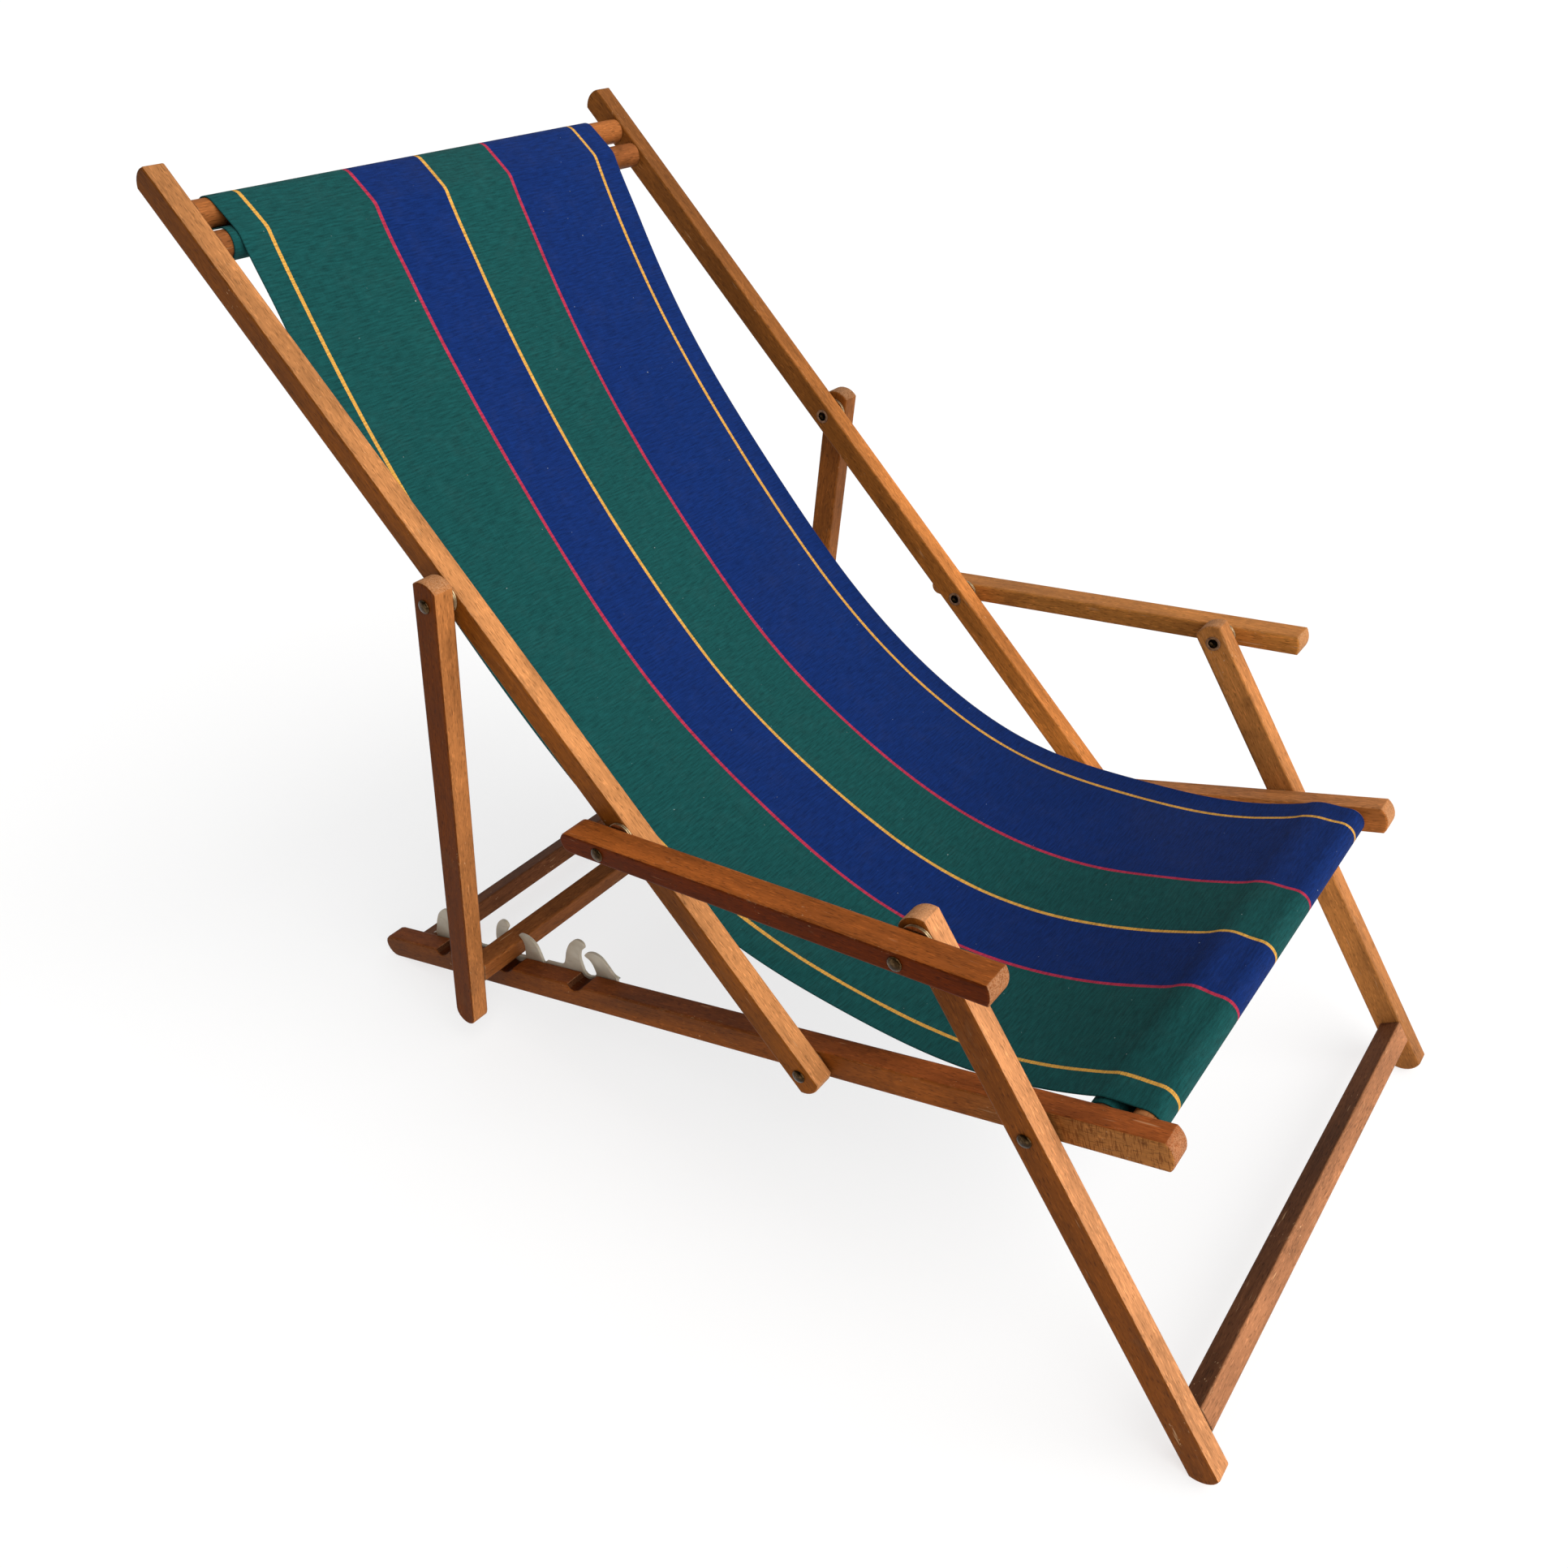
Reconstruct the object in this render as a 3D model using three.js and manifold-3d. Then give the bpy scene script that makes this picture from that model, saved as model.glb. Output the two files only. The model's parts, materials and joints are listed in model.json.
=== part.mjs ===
// Steamer deck chair: two hinged wooden frames, a notched prop behind and a hung canvas.
// Millimetres, Z up, X towards the sitter's feet, Y towards the sitter's left.
import * as THREE from 'three';
import { mergeVertices } from 'three/addons/utils/BufferGeometryUtils.js';
import Module from 'manifold-3d';

const wasm = await Module();
wasm.setup();

// Widths across the chair, from the armrests inwards
const overallWidth = 600;
const armrestWidth = 26.6;
const armrestGap = 3.4;
const frameThickness = 20;
const propThickness = 19.4;
const hingeGap = 2;
const seatRailThickness = 22;
const fitGap = 0.3;

// Hinge centres of the folding linkage, measured along the bars
const armHingeReach = 242;
const legHingeReach = 209;
const armReach = 282;
const propHingeReach = 482;
const backAngle = THREE.MathUtils.degToRad(119.5);

// Bars
const edgeRound = 2;
const endArcRadius = 19;
const backRailWidth = 24.9;
const backRailTail = 18.5;
const backRailReach = 900.5;
const seatRailHeight = 26;
const seatRailDrop = 2;
const seatRailRear = 625;
const seatRailNose = 102.5;
const legWidth = 26.3;
const legTop = 18;
const legFoot = 317;
const propWidth = 26.6;
const propTop = 21;
const propFootBeyondBar = 66.358;
const armrestHeight = 18.6;
const armrestRear = 43;
const armrestFront = 73;

// Cross pieces
const dowelRadius = 11.5;
const dowelSpacing = 7.5;
const topDowelInset = 46.5;
const frontDowelInset = 32.5;
const tenonRadius = 7;
const tenonLength = 12;
const rearCrossRailInset = 54;
const rearCrossRailLength = 22;
const rearCrossRailDepth = 20;
const legCrossbarRise = 45.7;
const legCrossbarLength = 22.6;
const legCrossbarDepth = 20.4;
const propBarLength = 22;
const propBarDepth = 20;

// Notches in the seat rails
const notchCount = 3;
const notchInUse = 1;
const propBarSetBack = 5;
const notchRearInset = 112;
const notchPitch = 108;
const notchWidth = 23;
const notchDepth = 6.5;
const notchLean = 8.5;

// Plastic racks on the inner faces of the seat rails
const rackThickness = 2.7;
const rackCrest = 2.5;
const rackFloorRise = 0.2;
const rackSkirt = 14;
const rackOverhang = 38;
const pocketWidth = 18;
const hornWidth = 36;
const hornHeight = 38;
const hornRoot = 8;
const rearHornSpread = THREE.MathUtils.degToRad(12);
const frontHornSpread = THREE.MathUtils.degToRad(-24);
const rackScrewRadius = 1.8;

// Rivets and washers
const shankRadius = 3.5;
const rivetHeadRadius = 6;
const rivetHeadHeight = 2.5;
const rivetTailRadius = 5;
const rivetTailHeight = 2.2;
const counterboreRadius = 7;
const counterboreDepth = 4;
const wideWasherRadius = 13;
const hingeWasherRadius = 10;
const washerLayers = 2;

// Canvas
const canvasThickness = 1.4;
const canvasEdgeGap = 8;
const canvasShiftTop = -11;
const canvasShiftFront = 6;
const canvasLeaveTop = THREE.MathUtils.degToRad(-84.6);
const canvasReachFront = THREE.MathUtils.degToRad(13.2);

// Shares of the free canvas chord at which its curve is steered
const sagTopShare = 0.365;
const sagFrontShare = 0.397;

// Horn outlines: across as a share of hornWidth from the pocket's wall, up as a share of hornHeight
const rearHornShares = [
  [-0.75, -0.2],
  [-0.75, 0.06],
  [-0.46, 0.56],
  [-0.18, 0.84],
  [0.14, 0.99],
  [0.36, 0.94],
  [0.37, 0.78],
  [0.16, 0.64],
  [0.02, 0.38],
  [0.0, 0.06],
  [0.0, -0.2],
];
const frontHornShares = [
  [0.7, -0.2],
  [0.68, 0.1],
  [0.62, 0.33],
  [0.45, 0.58],
  [0.2, 0.68],
  [-0.08, 0.64],
  [-0.22, 0.53],
  [-0.08, 0.43],
  [0.0, 0.28],
  [0.02, 0.06],
  [0.0, -0.2],
];

// How finely round shapes are cut
const arcSteps = 4;
const easeSteps = 2;
const hornSteps = 2;
const dowelSides = 24;
const rivetSides = 16;
const domeSteps = 3;
const washerSides = 20;
const sagSteps = 44;
const wrapSteps = 16;
const restRounds = 6;

// Layers, each given by its inner and outer face
const armOuter = overallWidth / 2;
const armInner = armOuter - armrestWidth;
const frameOuter = armInner - armrestGap;
const frameInner = frameOuter - frameThickness;
const seatOuter = frameInner - hingeGap;
const seatInner = seatOuter - seatRailThickness;
const propOuter = armInner + propThickness;
const canvasWidth = 2 * (seatInner - canvasEdgeGap);
const layer = (inner, outer) => ({ inner, outer, middle: (inner + outer) / 2, depth: outer - inner });
const armLayer = layer(armInner, armOuter);
const propLayer = layer(armInner, propOuter);
const frameLayer = layer(frameInner, frameOuter);
const seatLayer = layer(seatInner, seatOuter);

// Places in the side view, with the back hinge at zero and the seat rails along X
const polar = (from, length, angle) => new THREE.Vector2(
  from.x + length * Math.cos(angle),
  from.y + length * Math.sin(angle),
);
const bearing = (from, to) => Math.atan2(to.y - from.y, to.x - from.x);
const backHinge = new THREE.Vector2(0, 0);
const legHinge = new THREE.Vector2(legHingeReach, 0);
const armHinge = polar(backHinge, armHingeReach, backAngle);
const propHinge = polar(backHinge, propHingeReach, backAngle);

// The leg's length makes the four bars lie in one line when the chair is folded
const legReach = armHingeReach + legHingeReach - armReach;
const spread = armHinge.distanceTo(legHinge);
const spreadCosine = (spread ** 2 + legReach ** 2 - armReach ** 2) / (2 * spread * legReach);
const legAngle = bearing(legHinge, armHinge) - Math.acos(spreadCosine);
const legPin = polar(legHinge, legReach, legAngle);
const armAngle = bearing(armHinge, legPin);

// Places along the bars that follow from their ends
const seatRailFront = legHingeReach + seatRailNose;
const dowelPitch = 2 * dowelRadius + dowelSpacing;
const topDowelAt = backRailReach - topDowelInset;
const secondTopDowelAt = topDowelAt - dowelPitch;
const frontDowelAt = seatRailFront - frontDowelInset;
const secondFrontDowelAt = frontDowelAt - dowelPitch;
const rearCrossRailAt = seatRailRear - rearCrossRailInset;
const legCrossbarAt = legFoot - legCrossbarRise;
const notchFirst = seatRailRear - notchRearInset - notchPitch * (notchCount - 1);

// Seat rail edges, and the prop bar resting on the floor of the rack's pocket in use
const railTop = seatRailHeight / 2 - seatRailDrop;
const railBottom = railTop - seatRailHeight;
const pocketFloor = railTop + rackFloorRise;
const notchAt = (index) => -(notchFirst + notchPitch * index);
const propBar = new THREE.Vector2(notchAt(notchInUse) - propBarSetBack, railTop);
const propBarReach = (angle) => edgeRound
  + Math.abs(Math.sin(angle)) * (propBarLength / 2 - edgeRound)
  + Math.abs(Math.cos(angle)) * (propBarDepth / 2 - edgeRound);
const propBarOffset = (propWidth - propBarDepth) / 2;
let propAngle = 0;
for (let round = 0; round < restRounds; round += 1) {
  const reach = propHinge.distanceTo(propBar);
  propAngle = bearing(propHinge, propBar) - Math.asin(propBarOffset / reach);
  propBar.y = pocketFloor + fitGap + propBarReach(propAngle);
}
const propBarAt = Math.sqrt(propHinge.distanceTo(propBar) ** 2 - propBarOffset ** 2);
const propFoot = propBarAt + propFootBeyondBar;

// Solids
function toSolid(geometry) {
  const bare = geometry.clone();
  bare.deleteAttribute('normal');
  bare.deleteAttribute('uv');
  const merged = mergeVertices(bare);
  return new wasm.Manifold(new wasm.Mesh({
    numProp: 3,
    vertProperties: new Float32Array(merged.attributes.position.array),
    triVerts: new Uint32Array(merged.index.array),
  }));
}

function toGeometry(solid) {
  const mesh = solid.getMesh();
  const indexed = new THREE.BufferGeometry();
  indexed.setAttribute('position', new THREE.BufferAttribute(new Float32Array(mesh.vertProperties), 3));
  indexed.setIndex(new THREE.BufferAttribute(new Uint32Array(mesh.triVerts), 1));
  const faceted = indexed.toNonIndexed();
  faceted.computeVertexNormals();
  return faceted;
}

function join(base, ...others) {
  return toGeometry(others.reduce((sum, other) => sum.add(toSolid(other)), toSolid(base)));
}

function cut(base, ...tools) {
  return toGeometry(tools.reduce((rest, tool) => rest.subtract(toSolid(tool)), toSolid(base)));
}

// A side-view outline given thickness across the chair, centred on zero, with eased long edges
function slab(shape, depth, ease = edgeRound) {
  const geometry = new THREE.ExtrudeGeometry(shape, {
    depth: depth - 2 * ease,
    bevelEnabled: ease > 0,
    bevelThickness: ease,
    bevelSize: ease,
    bevelOffset: -ease,
    bevelSegments: easeSteps,
    curveSegments: arcSteps,
  });
  geometry.translate(0, 0, ease - depth / 2);
  geometry.rotateX(Math.PI / 2);
  return geometry;
}

// A bar outline from one arc-cut end to the other
function barShape(start, end, width, startRadius, endRadius) {
  const half = width / 2;
  const startTurn = Math.asin(half / startRadius);
  const endTurn = Math.asin(half / endRadius);
  const shape = new THREE.Shape();
  shape.absarc(end - endRadius, 0, endRadius, -endTurn, endTurn, false);
  shape.absarc(start + startRadius, 0, startRadius, Math.PI - startTurn, Math.PI + startTurn, false);
  return shape;
}

// A shaft along Y drawn from pairs of radius and place
function turned(profile, sides) {
  const points = profile.map(([radius, place]) => new THREE.Vector2(radius, place));
  return new THREE.LatheGeometry(points, sides);
}

function rod(radius, from, to, sides) {
  return turned([[0, from], [radius, from], [radius, to], [0, to]], sides);
}

// A hole's flats lie outside the wanted radius
function bore(radius, from, to, x, z) {
  const tool = rod(radius / Math.cos(Math.PI / rivetSides), from, to, rivetSides);
  tool.rotateY(Math.PI / rivetSides);
  tool.translate(x, 0, z);
  return tool;
}

// Rivet holes and tenon sockets, as seen by the chair's left-hand bar centred on Y zero
function rivetBore(depth, x, z, tail) {
  const through = bore(shankRadius + fitGap, -depth, depth, x, z);
  if (!tail) {
    return [through];
  }
  return [through, bore(counterboreRadius, -depth, counterboreDepth - depth / 2, x, z)];
}

function socket(depth, x, z) {
  return bore(tenonRadius + fitGap, -depth, tenonLength + fitGap - depth / 2, x, z);
}

// A right-hand bar is the left-hand one turned over about the chair's middle plane
function mirrored(geometry) {
  return toGeometry(toSolid(geometry).mirror([0, 1, 0]));
}

function mesh(name, geometry, look) {
  const part = new THREE.Mesh(geometry, new THREE.MeshStandardMaterial(look));
  part.name = name;
  return part;
}

const backWood = { color: 0xb9733f, roughness: 0.55, metalness: 0 };
const seatWood = { color: 0xb06a38, roughness: 0.55, metalness: 0 };
const armWood = { color: 0xa65428, roughness: 0.5, metalness: 0 };
const darkWood = { color: 0x7a4320, roughness: 0.6, metalness: 0 };
const plastic = { color: 0xd8cfbd, roughness: 0.45, metalness: 0 };
const darkMetal = { color: 0x3a2f28, roughness: 0.5, metalness: 0.8 };
const brightMetal = { color: 0xa7a29a, roughness: 0.4, metalness: 0.9 };
const greenCloth = { color: 0x205850, roughness: 0.95, metalness: 0 };
const blueCloth = { color: 0x1c3578, roughness: 0.95, metalness: 0 };

// Each frame is a group turned in the side view, holding left and right copies of its pieces
function frameGroup(origin, angle) {
  const group = new THREE.Group();
  group.position.set(origin.x, 0, origin.y);
  group.rotation.y = -angle;
  return group;
}

function addPair(group, name, geometry, place, look) {
  const left = mesh(`${name}_left`, geometry, look);
  left.position.y = place;
  const right = mesh(`${name}_right`, mirrored(geometry), look);
  right.position.y = -place;
  group.add(left, right);
}

// A round dowel with a tenon at each end, between two bars
function dowel(inner) {
  const shoulder = inner - fitGap;
  const end = inner + tenonLength;
  return turned([
    [0, -end],
    [tenonRadius, -end],
    [tenonRadius, -shoulder],
    [dowelRadius, -shoulder],
    [dowelRadius, shoulder],
    [tenonRadius, shoulder],
    [tenonRadius, end],
    [0, end],
  ], dowelSides);
}

// A square bar with round tenons, between two bars
function crossRail(inner, length, depth) {
  const half = length / 2;
  const corner = edgeRound;
  const shape = new THREE.Shape();
  const top = depth / 2;
  shape.absarc(half - corner, corner - top, corner, -Math.PI / 2, 0, false);
  shape.absarc(half - corner, top - corner, corner, 0, Math.PI / 2, false);
  shape.absarc(corner - half, top - corner, corner, Math.PI / 2, Math.PI, false);
  shape.absarc(corner - half, corner - top, corner, Math.PI, -Math.PI / 2, false);
  const reach = inner - fitGap;
  const body = new THREE.ExtrudeGeometry(shape, {
    depth: 2 * reach,
    bevelEnabled: false,
    curveSegments: easeSteps,
  });
  body.translate(0, 0, -reach);
  body.rotateX(Math.PI / 2);
  const end = inner + tenonLength;
  return join(body, rod(tenonRadius, -end, end, rivetSides));
}

// Rivets: a domed head on the outer face, a shank, and a tail sunk in the inner face
function dome(base) {
  const points = [];
  for (let step = 0; step <= domeSteps; step += 1) {
    const turn = (Math.PI / 2) * (step / domeSteps);
    points.push([rivetHeadRadius * Math.cos(turn), base + rivetHeadHeight * Math.sin(turn)]);
  }
  points[domeSteps][0] = 0;
  return points;
}

function rivetTail(inner) {
  const floor = inner + counterboreDepth - fitGap;
  return [
    [0, floor - rivetTailHeight],
    [rivetTailRadius, floor - rivetTailHeight],
    [rivetTailRadius, floor],
    [shankRadius, floor],
  ];
}

function rivet(inner, outer) {
  const base = outer + fitGap;
  return turned([...rivetTail(inner), [shankRadius, base], ...dome(base)], rivetSides);
}

function washer(radius, from, to) {
  const hole = shankRadius + fitGap;
  return turned([[hole, from], [radius, from], [radius, to], [hole, to], [hole, from]], washerSides);
}

// Washers fill the gap between two layers with a fit gap on every face
function washerPlace(index, count, from, to) {
  const thickness = (to - from - fitGap * (count + 1)) / count;
  const start = from + fitGap + index * (thickness + fitGap);
  return [start, start + thickness];
}

function addPins(group, name, geometry, at, look) {
  const left = mesh(`${name}_left`, geometry, look);
  const right = mesh(`${name}_right`, mirrored(geometry), look);
  left.position.set(at, 0, 0);
  right.position.set(at, 0, 0);
  group.add(left, right);
}

// Seat frame: notched rails, dowels in front, a cross rail behind
const seatFrame = frameGroup(backHinge, 0);

function seatRailShape() {
  const half = seatRailHeight / 2;
  const middle = railTop - half;
  const endTurn = Math.asin(half / endArcRadius);
  const shape = new THREE.Shape();
  shape.absarc(seatRailFront - endArcRadius, middle, endArcRadius, -endTurn, endTurn, false);
  for (let index = 0; index < notchCount; index += 1) {
    const place = notchAt(index);
    const rim = notchWidth / 2;
    shape.lineTo(place + rim, railTop);
    shape.quadraticCurveTo(place - notchLean, railTop - 2 * notchDepth, place - rim, railTop);
  }
  shape.absarc(half - seatRailRear, middle, half, Math.PI / 2, -Math.PI / 2, false);
  return shape;
}

const seatDepth = seatLayer.depth;
const seatMiddle = -seatRailDrop;
const seatRail = cut(
  slab(seatRailShape(), seatDepth),
  ...rivetBore(seatDepth, backHinge.x, backHinge.y, true),
  ...rivetBore(seatDepth, legHinge.x, legHinge.y, true),
  socket(seatDepth, frontDowelAt, seatMiddle),
  socket(seatDepth, secondFrontDowelAt, seatMiddle),
  socket(seatDepth, -rearCrossRailAt, seatMiddle),
);
addPair(seatFrame, 'seat_rail', seatRail, seatLayer.middle, seatWood);

const frontDowel = mesh('front_dowel_outer', dowel(seatInner), seatWood);
frontDowel.position.set(frontDowelAt, 0, seatMiddle);
const secondFrontDowel = mesh('front_dowel_inner', dowel(seatInner), darkWood);
secondFrontDowel.position.set(secondFrontDowelAt, 0, seatMiddle);
const rearRail = mesh(
  'rear_cross_rail',
  crossRail(seatInner, rearCrossRailLength, rearCrossRailDepth),
  darkWood,
);
rearRail.position.set(-rearCrossRailAt, 0, seatMiddle);
seatFrame.add(frontDowel, secondFrontDowel, rearRail);

// Racks: a strip along each rail with a pair of curled horns over every notch
function hornShape(shares, wall, turn) {
  const foot = new THREE.Vector2(wall + (shares[0][0] * hornWidth) / 2, pocketFloor);
  const points = shares.map(([across, up]) => {
    const point = new THREE.Vector2(wall + across * hornWidth, pocketFloor + up * hornHeight);
    return up > 0 ? point.rotateAround(foot, turn) : point;
  });
  const shape = new THREE.Shape();
  shape.moveTo(points[0].x, points[0].y);
  shape.splineThru(points.slice(1));
  return shape;
}

function rackStripShape() {
  const low = railTop - rackSkirt;
  const high = railTop + rackCrest;
  const rear = notchAt(notchCount - 1) - rackOverhang;
  const front = notchAt(0) + rackOverhang;
  const shape = new THREE.Shape();
  shape.absarc(front - hornRoot, low + hornRoot, hornRoot, -Math.PI / 2, 0, false);
  shape.lineTo(front, railTop);
  for (let index = 0; index < notchCount; index += 1) {
    const place = notchAt(index);
    const wall = place + pocketWidth / 2;
    const outer = wall + hornRoot;
    shape.lineTo(outer, index ? high : railTop);
    shape.lineTo(wall, pocketFloor);
    shape.lineTo(place - pocketWidth / 2, pocketFloor);
    shape.lineTo(place - pocketWidth / 2 - hornRoot, high);
  }
  shape.lineTo(rear, high);
  shape.absarc(rear + hornRoot, low + hornRoot, hornRoot, Math.PI, -Math.PI / 2, false);
  return shape;
}

function rackPlate(shape) {
  const plate = new THREE.ExtrudeGeometry(shape, {
    depth: rackThickness,
    bevelEnabled: false,
    curveSegments: hornSteps,
  });
  plate.translate(0, 0, -rackThickness / 2);
  plate.rotateX(Math.PI / 2);
  return plate;
}

const rackHorns = [];
for (let index = 0; index < notchCount; index += 1) {
  const inUse = index === notchInUse;
  const place = notchAt(index);
  const half = pocketWidth / 2;
  rackHorns.push(rackPlate(hornShape(rearHornShares, place - half, inUse ? rearHornSpread : 0)));
  rackHorns.push(rackPlate(hornShape(frontHornShares, place + half, inUse ? frontHornSpread : 0)));
}
const propBarClearance = new THREE.BoxGeometry(
  propBarLength + 2 * fitGap,
  2 * rackThickness,
  propBarDepth + 2 * fitGap,
);
propBarClearance.rotateY(-propAngle);
propBarClearance.translate(propBar.x, 0, propBar.y);
const rackScrews = [];
for (let index = 0; index < notchCount - 1; index += 1) {
  const between = (notchAt(index) + notchAt(index + 1)) / 2;
  rackScrews.push(bore(rackScrewRadius, -rackThickness, rackThickness, between, railTop - rackSkirt / 2));
}
const rack = cut(join(rackPlate(rackStripShape()), ...rackHorns), propBarClearance, ...rackScrews);
addPair(seatFrame, 'notch_rack', rack, seatInner - fitGap - rackThickness / 2, plastic);

// Back frame: two long rails with dowels near the top
const backFrame = frameGroup(backHinge, backAngle);
const frameDepth = frameLayer.depth;
const backRail = cut(
  slab(barShape(-backRailTail, backRailReach, backRailWidth, endArcRadius, endArcRadius), frameDepth),
  ...rivetBore(frameDepth, 0, 0, false),
  ...rivetBore(frameDepth, armHingeReach, 0, true),
  ...rivetBore(frameDepth, propHingeReach, 0, true),
  socket(frameDepth, topDowelAt, 0),
  socket(frameDepth, secondTopDowelAt, 0),
);
addPair(backFrame, 'back_rail', backRail, frameLayer.middle, backWood);
const topDowel = mesh('top_dowel_upper', dowel(frameInner), backWood);
topDowel.position.set(topDowelAt, 0, 0);
const secondTopDowel = mesh('top_dowel_lower', dowel(frameInner), backWood);
secondTopDowel.position.set(secondTopDowelAt, 0, 0);
backFrame.add(topDowel, secondTopDowel);

// Leg frame: front legs joined by a crossbar flush with their front faces
const legFrame = frameGroup(legHinge, legAngle + Math.PI);
const legCrossbarLift = (legWidth - legCrossbarDepth) / 2;
const frontLeg = cut(
  slab(barShape(-legReach - legTop, legFoot, legWidth, endArcRadius, endArcRadius), frameDepth),
  ...rivetBore(frameDepth, 0, 0, false),
  ...rivetBore(frameDepth, -legReach, 0, true),
  socket(frameDepth, legCrossbarAt, legCrossbarLift),
);
addPair(legFrame, 'front_leg', frontLeg, frameLayer.middle, seatWood);
const legCrossbar = mesh(
  'leg_crossbar',
  crossRail(frameInner, legCrossbarLength, legCrossbarDepth),
  backWood,
);
legCrossbar.position.set(legCrossbarAt, 0, legCrossbarLift);
legFrame.add(legCrossbar);

// Prop frame: two legs behind the back, joined by the bar that sits in the notches
const propFrame = frameGroup(propHinge, propAngle);
const propDepth = propLayer.depth;
const propLeg = cut(
  slab(barShape(-propTop, propFoot, propWidth, endArcRadius, propWidth / 2), propDepth),
  ...rivetBore(propDepth, 0, 0, false),
  socket(propDepth, propBarAt, propBarOffset),
);
addPair(propFrame, 'prop_leg', propLeg, propLayer.middle, backWood);
const propCrossbar = mesh('prop_crossbar', crossRail(armInner, propBarLength, propBarDepth), backWood);
propCrossbar.position.set(propBarAt, 0, propBarOffset);
propFrame.add(propCrossbar);

// Armrests, rounded over at the back and arc-cut at the front
const armFrame = frameGroup(armHinge, armAngle);
const armDepth = armLayer.depth;
const armrestEnd = armReach + armrestFront;
const armrestShape = barShape(-armrestRear, armrestEnd, armrestHeight, armrestHeight / 2, endArcRadius);
const armrest = cut(
  slab(armrestShape, armDepth),
  ...rivetBore(armDepth, 0, 0, false),
  ...rivetBore(armDepth, armReach, 0, false),
);
addPair(armFrame, 'armrest', armrest, armLayer.middle, armWood);

// Hinge rivets and their washers
addPins(seatFrame, 'back_hinge_rivet', rivet(seatInner, frameOuter), 0, darkMetal);
addPins(seatFrame, 'leg_hinge_rivet', rivet(seatInner, frameOuter), legHingeReach, darkMetal);
const hingeWasher = washer(hingeWasherRadius, ...washerPlace(0, 1, seatOuter, frameInner));
addPins(seatFrame, 'back_hinge_washer', hingeWasher, 0, brightMetal);
addPins(seatFrame, 'leg_hinge_washer', hingeWasher, legHingeReach, brightMetal);
addPins(backFrame, 'arm_hinge_rivet', rivet(frameInner, armOuter), armHingeReach, darkMetal);
addPins(backFrame, 'prop_hinge_rivet', rivet(frameInner, propOuter), propHingeReach, darkMetal);
const wideWashers = [];
for (let index = 0; index < washerLayers; index += 1) {
  wideWashers.push(washer(wideWasherRadius, ...washerPlace(index, washerLayers, frameOuter, armInner)));
}
const [innerWasher, outerWasher] = wideWashers;
addPins(backFrame, 'arm_hinge_washer_inner', innerWasher, armHingeReach, brightMetal);
addPins(backFrame, 'arm_hinge_washer_outer', outerWasher, armHingeReach, brightMetal);
addPins(backFrame, 'prop_hinge_washer_inner', innerWasher, propHingeReach, brightMetal);
addPins(backFrame, 'prop_hinge_washer_outer', outerWasher, propHingeReach, brightMetal);

// The rivet through leg and armrest is made in two halves that meet between its washers
const [, meeting] = washerPlace(0, washerLayers, frameOuter, armInner);
const legPinTail = turned([...rivetTail(frameInner), [shankRadius, meeting], [0, meeting]], rivetSides);
const armPinBase = armOuter + fitGap;
const armPinStart = meeting + fitGap;
const armPinHead = turned([
  [0, armPinStart],
  [shankRadius, armPinStart],
  [shankRadius, armPinBase],
  ...dome(armPinBase),
], rivetSides);
addPins(legFrame, 'leg_pin_tail', legPinTail, -legReach, darkMetal);
addPins(legFrame, 'leg_pin_washer', innerWasher, -legReach, brightMetal);
addPins(armFrame, 'arm_pin_head', armPinHead, armReach, darkMetal);
addPins(armFrame, 'arm_pin_washer', outerWasher, armReach, brightMetal);

// Canvas: wound round both top dowels, sagging to the front and wound round both front dowels
const wrapNear = dowelRadius + fitGap + canvasThickness / 2;
const wrapFar = wrapNear + fitGap + canvasThickness;
const upperTop = polar(backHinge, topDowelAt, backAngle);
const lowerTop = polar(backHinge, secondTopDowelAt, backAngle);
const outerFront = new THREE.Vector2(frontDowelAt, seatMiddle);
const innerFront = new THREE.Vector2(secondFrontDowelAt, seatMiddle);

// Heading of a straight run between two rounds, each with a centre, a radius and a turning sense
function heading(from, to) {
  const offset = to.sense * to.radius - from.sense * from.radius;
  return bearing(from.centre, to.centre) - Math.asin(offset / from.centre.distanceTo(to.centre));
}

function wind(rounds, firstHeading, lastHeading) {
  const points = [];
  rounds.forEach((round, index) => {
    const arrive = index ? heading(rounds[index - 1], round) : firstHeading;
    const leave = index < rounds.length - 1 ? heading(round, rounds[index + 1]) : lastHeading;
    const begin = arrive - (round.sense * Math.PI) / 2;
    const sweep = THREE.MathUtils.euclideanModulo(round.sense * (leave - arrive), 2 * Math.PI);
    const turn = round.sense * sweep;
    for (let step = 0; step <= wrapSteps; step += 1) {
      points.push(polar(round.centre, round.radius, begin + (turn * step) / wrapSteps));
    }
  });
  return points;
}

const tailHeading = backAngle + Math.PI;
const topWrap = wind([
  { centre: lowerTop, radius: wrapNear, sense: 1 },
  { centre: upperTop, radius: wrapNear, sense: -1 },
  { centre: lowerTop, radius: wrapFar, sense: -1 },
], tailHeading, canvasLeaveTop);
const frontWrap = wind([
  { centre: innerFront, radius: wrapFar, sense: -1 },
  { centre: outerFront, radius: wrapNear, sense: -1 },
  { centre: innerFront, radius: wrapNear, sense: 1 },
], canvasReachFront, -Math.PI / 2);
const sagStart = topWrap[topWrap.length - 1];
const sagEnd = frontWrap[0];
const chord = sagStart.distanceTo(sagEnd);
const sag = new THREE.CubicBezierCurve(
  sagStart,
  polar(sagStart, chord * sagTopShare, canvasLeaveTop),
  polar(sagEnd, -chord * sagFrontShare, canvasReachFront),
  sagEnd,
);
const sagPoints = sag.getSpacedPoints(sagSteps);

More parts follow.
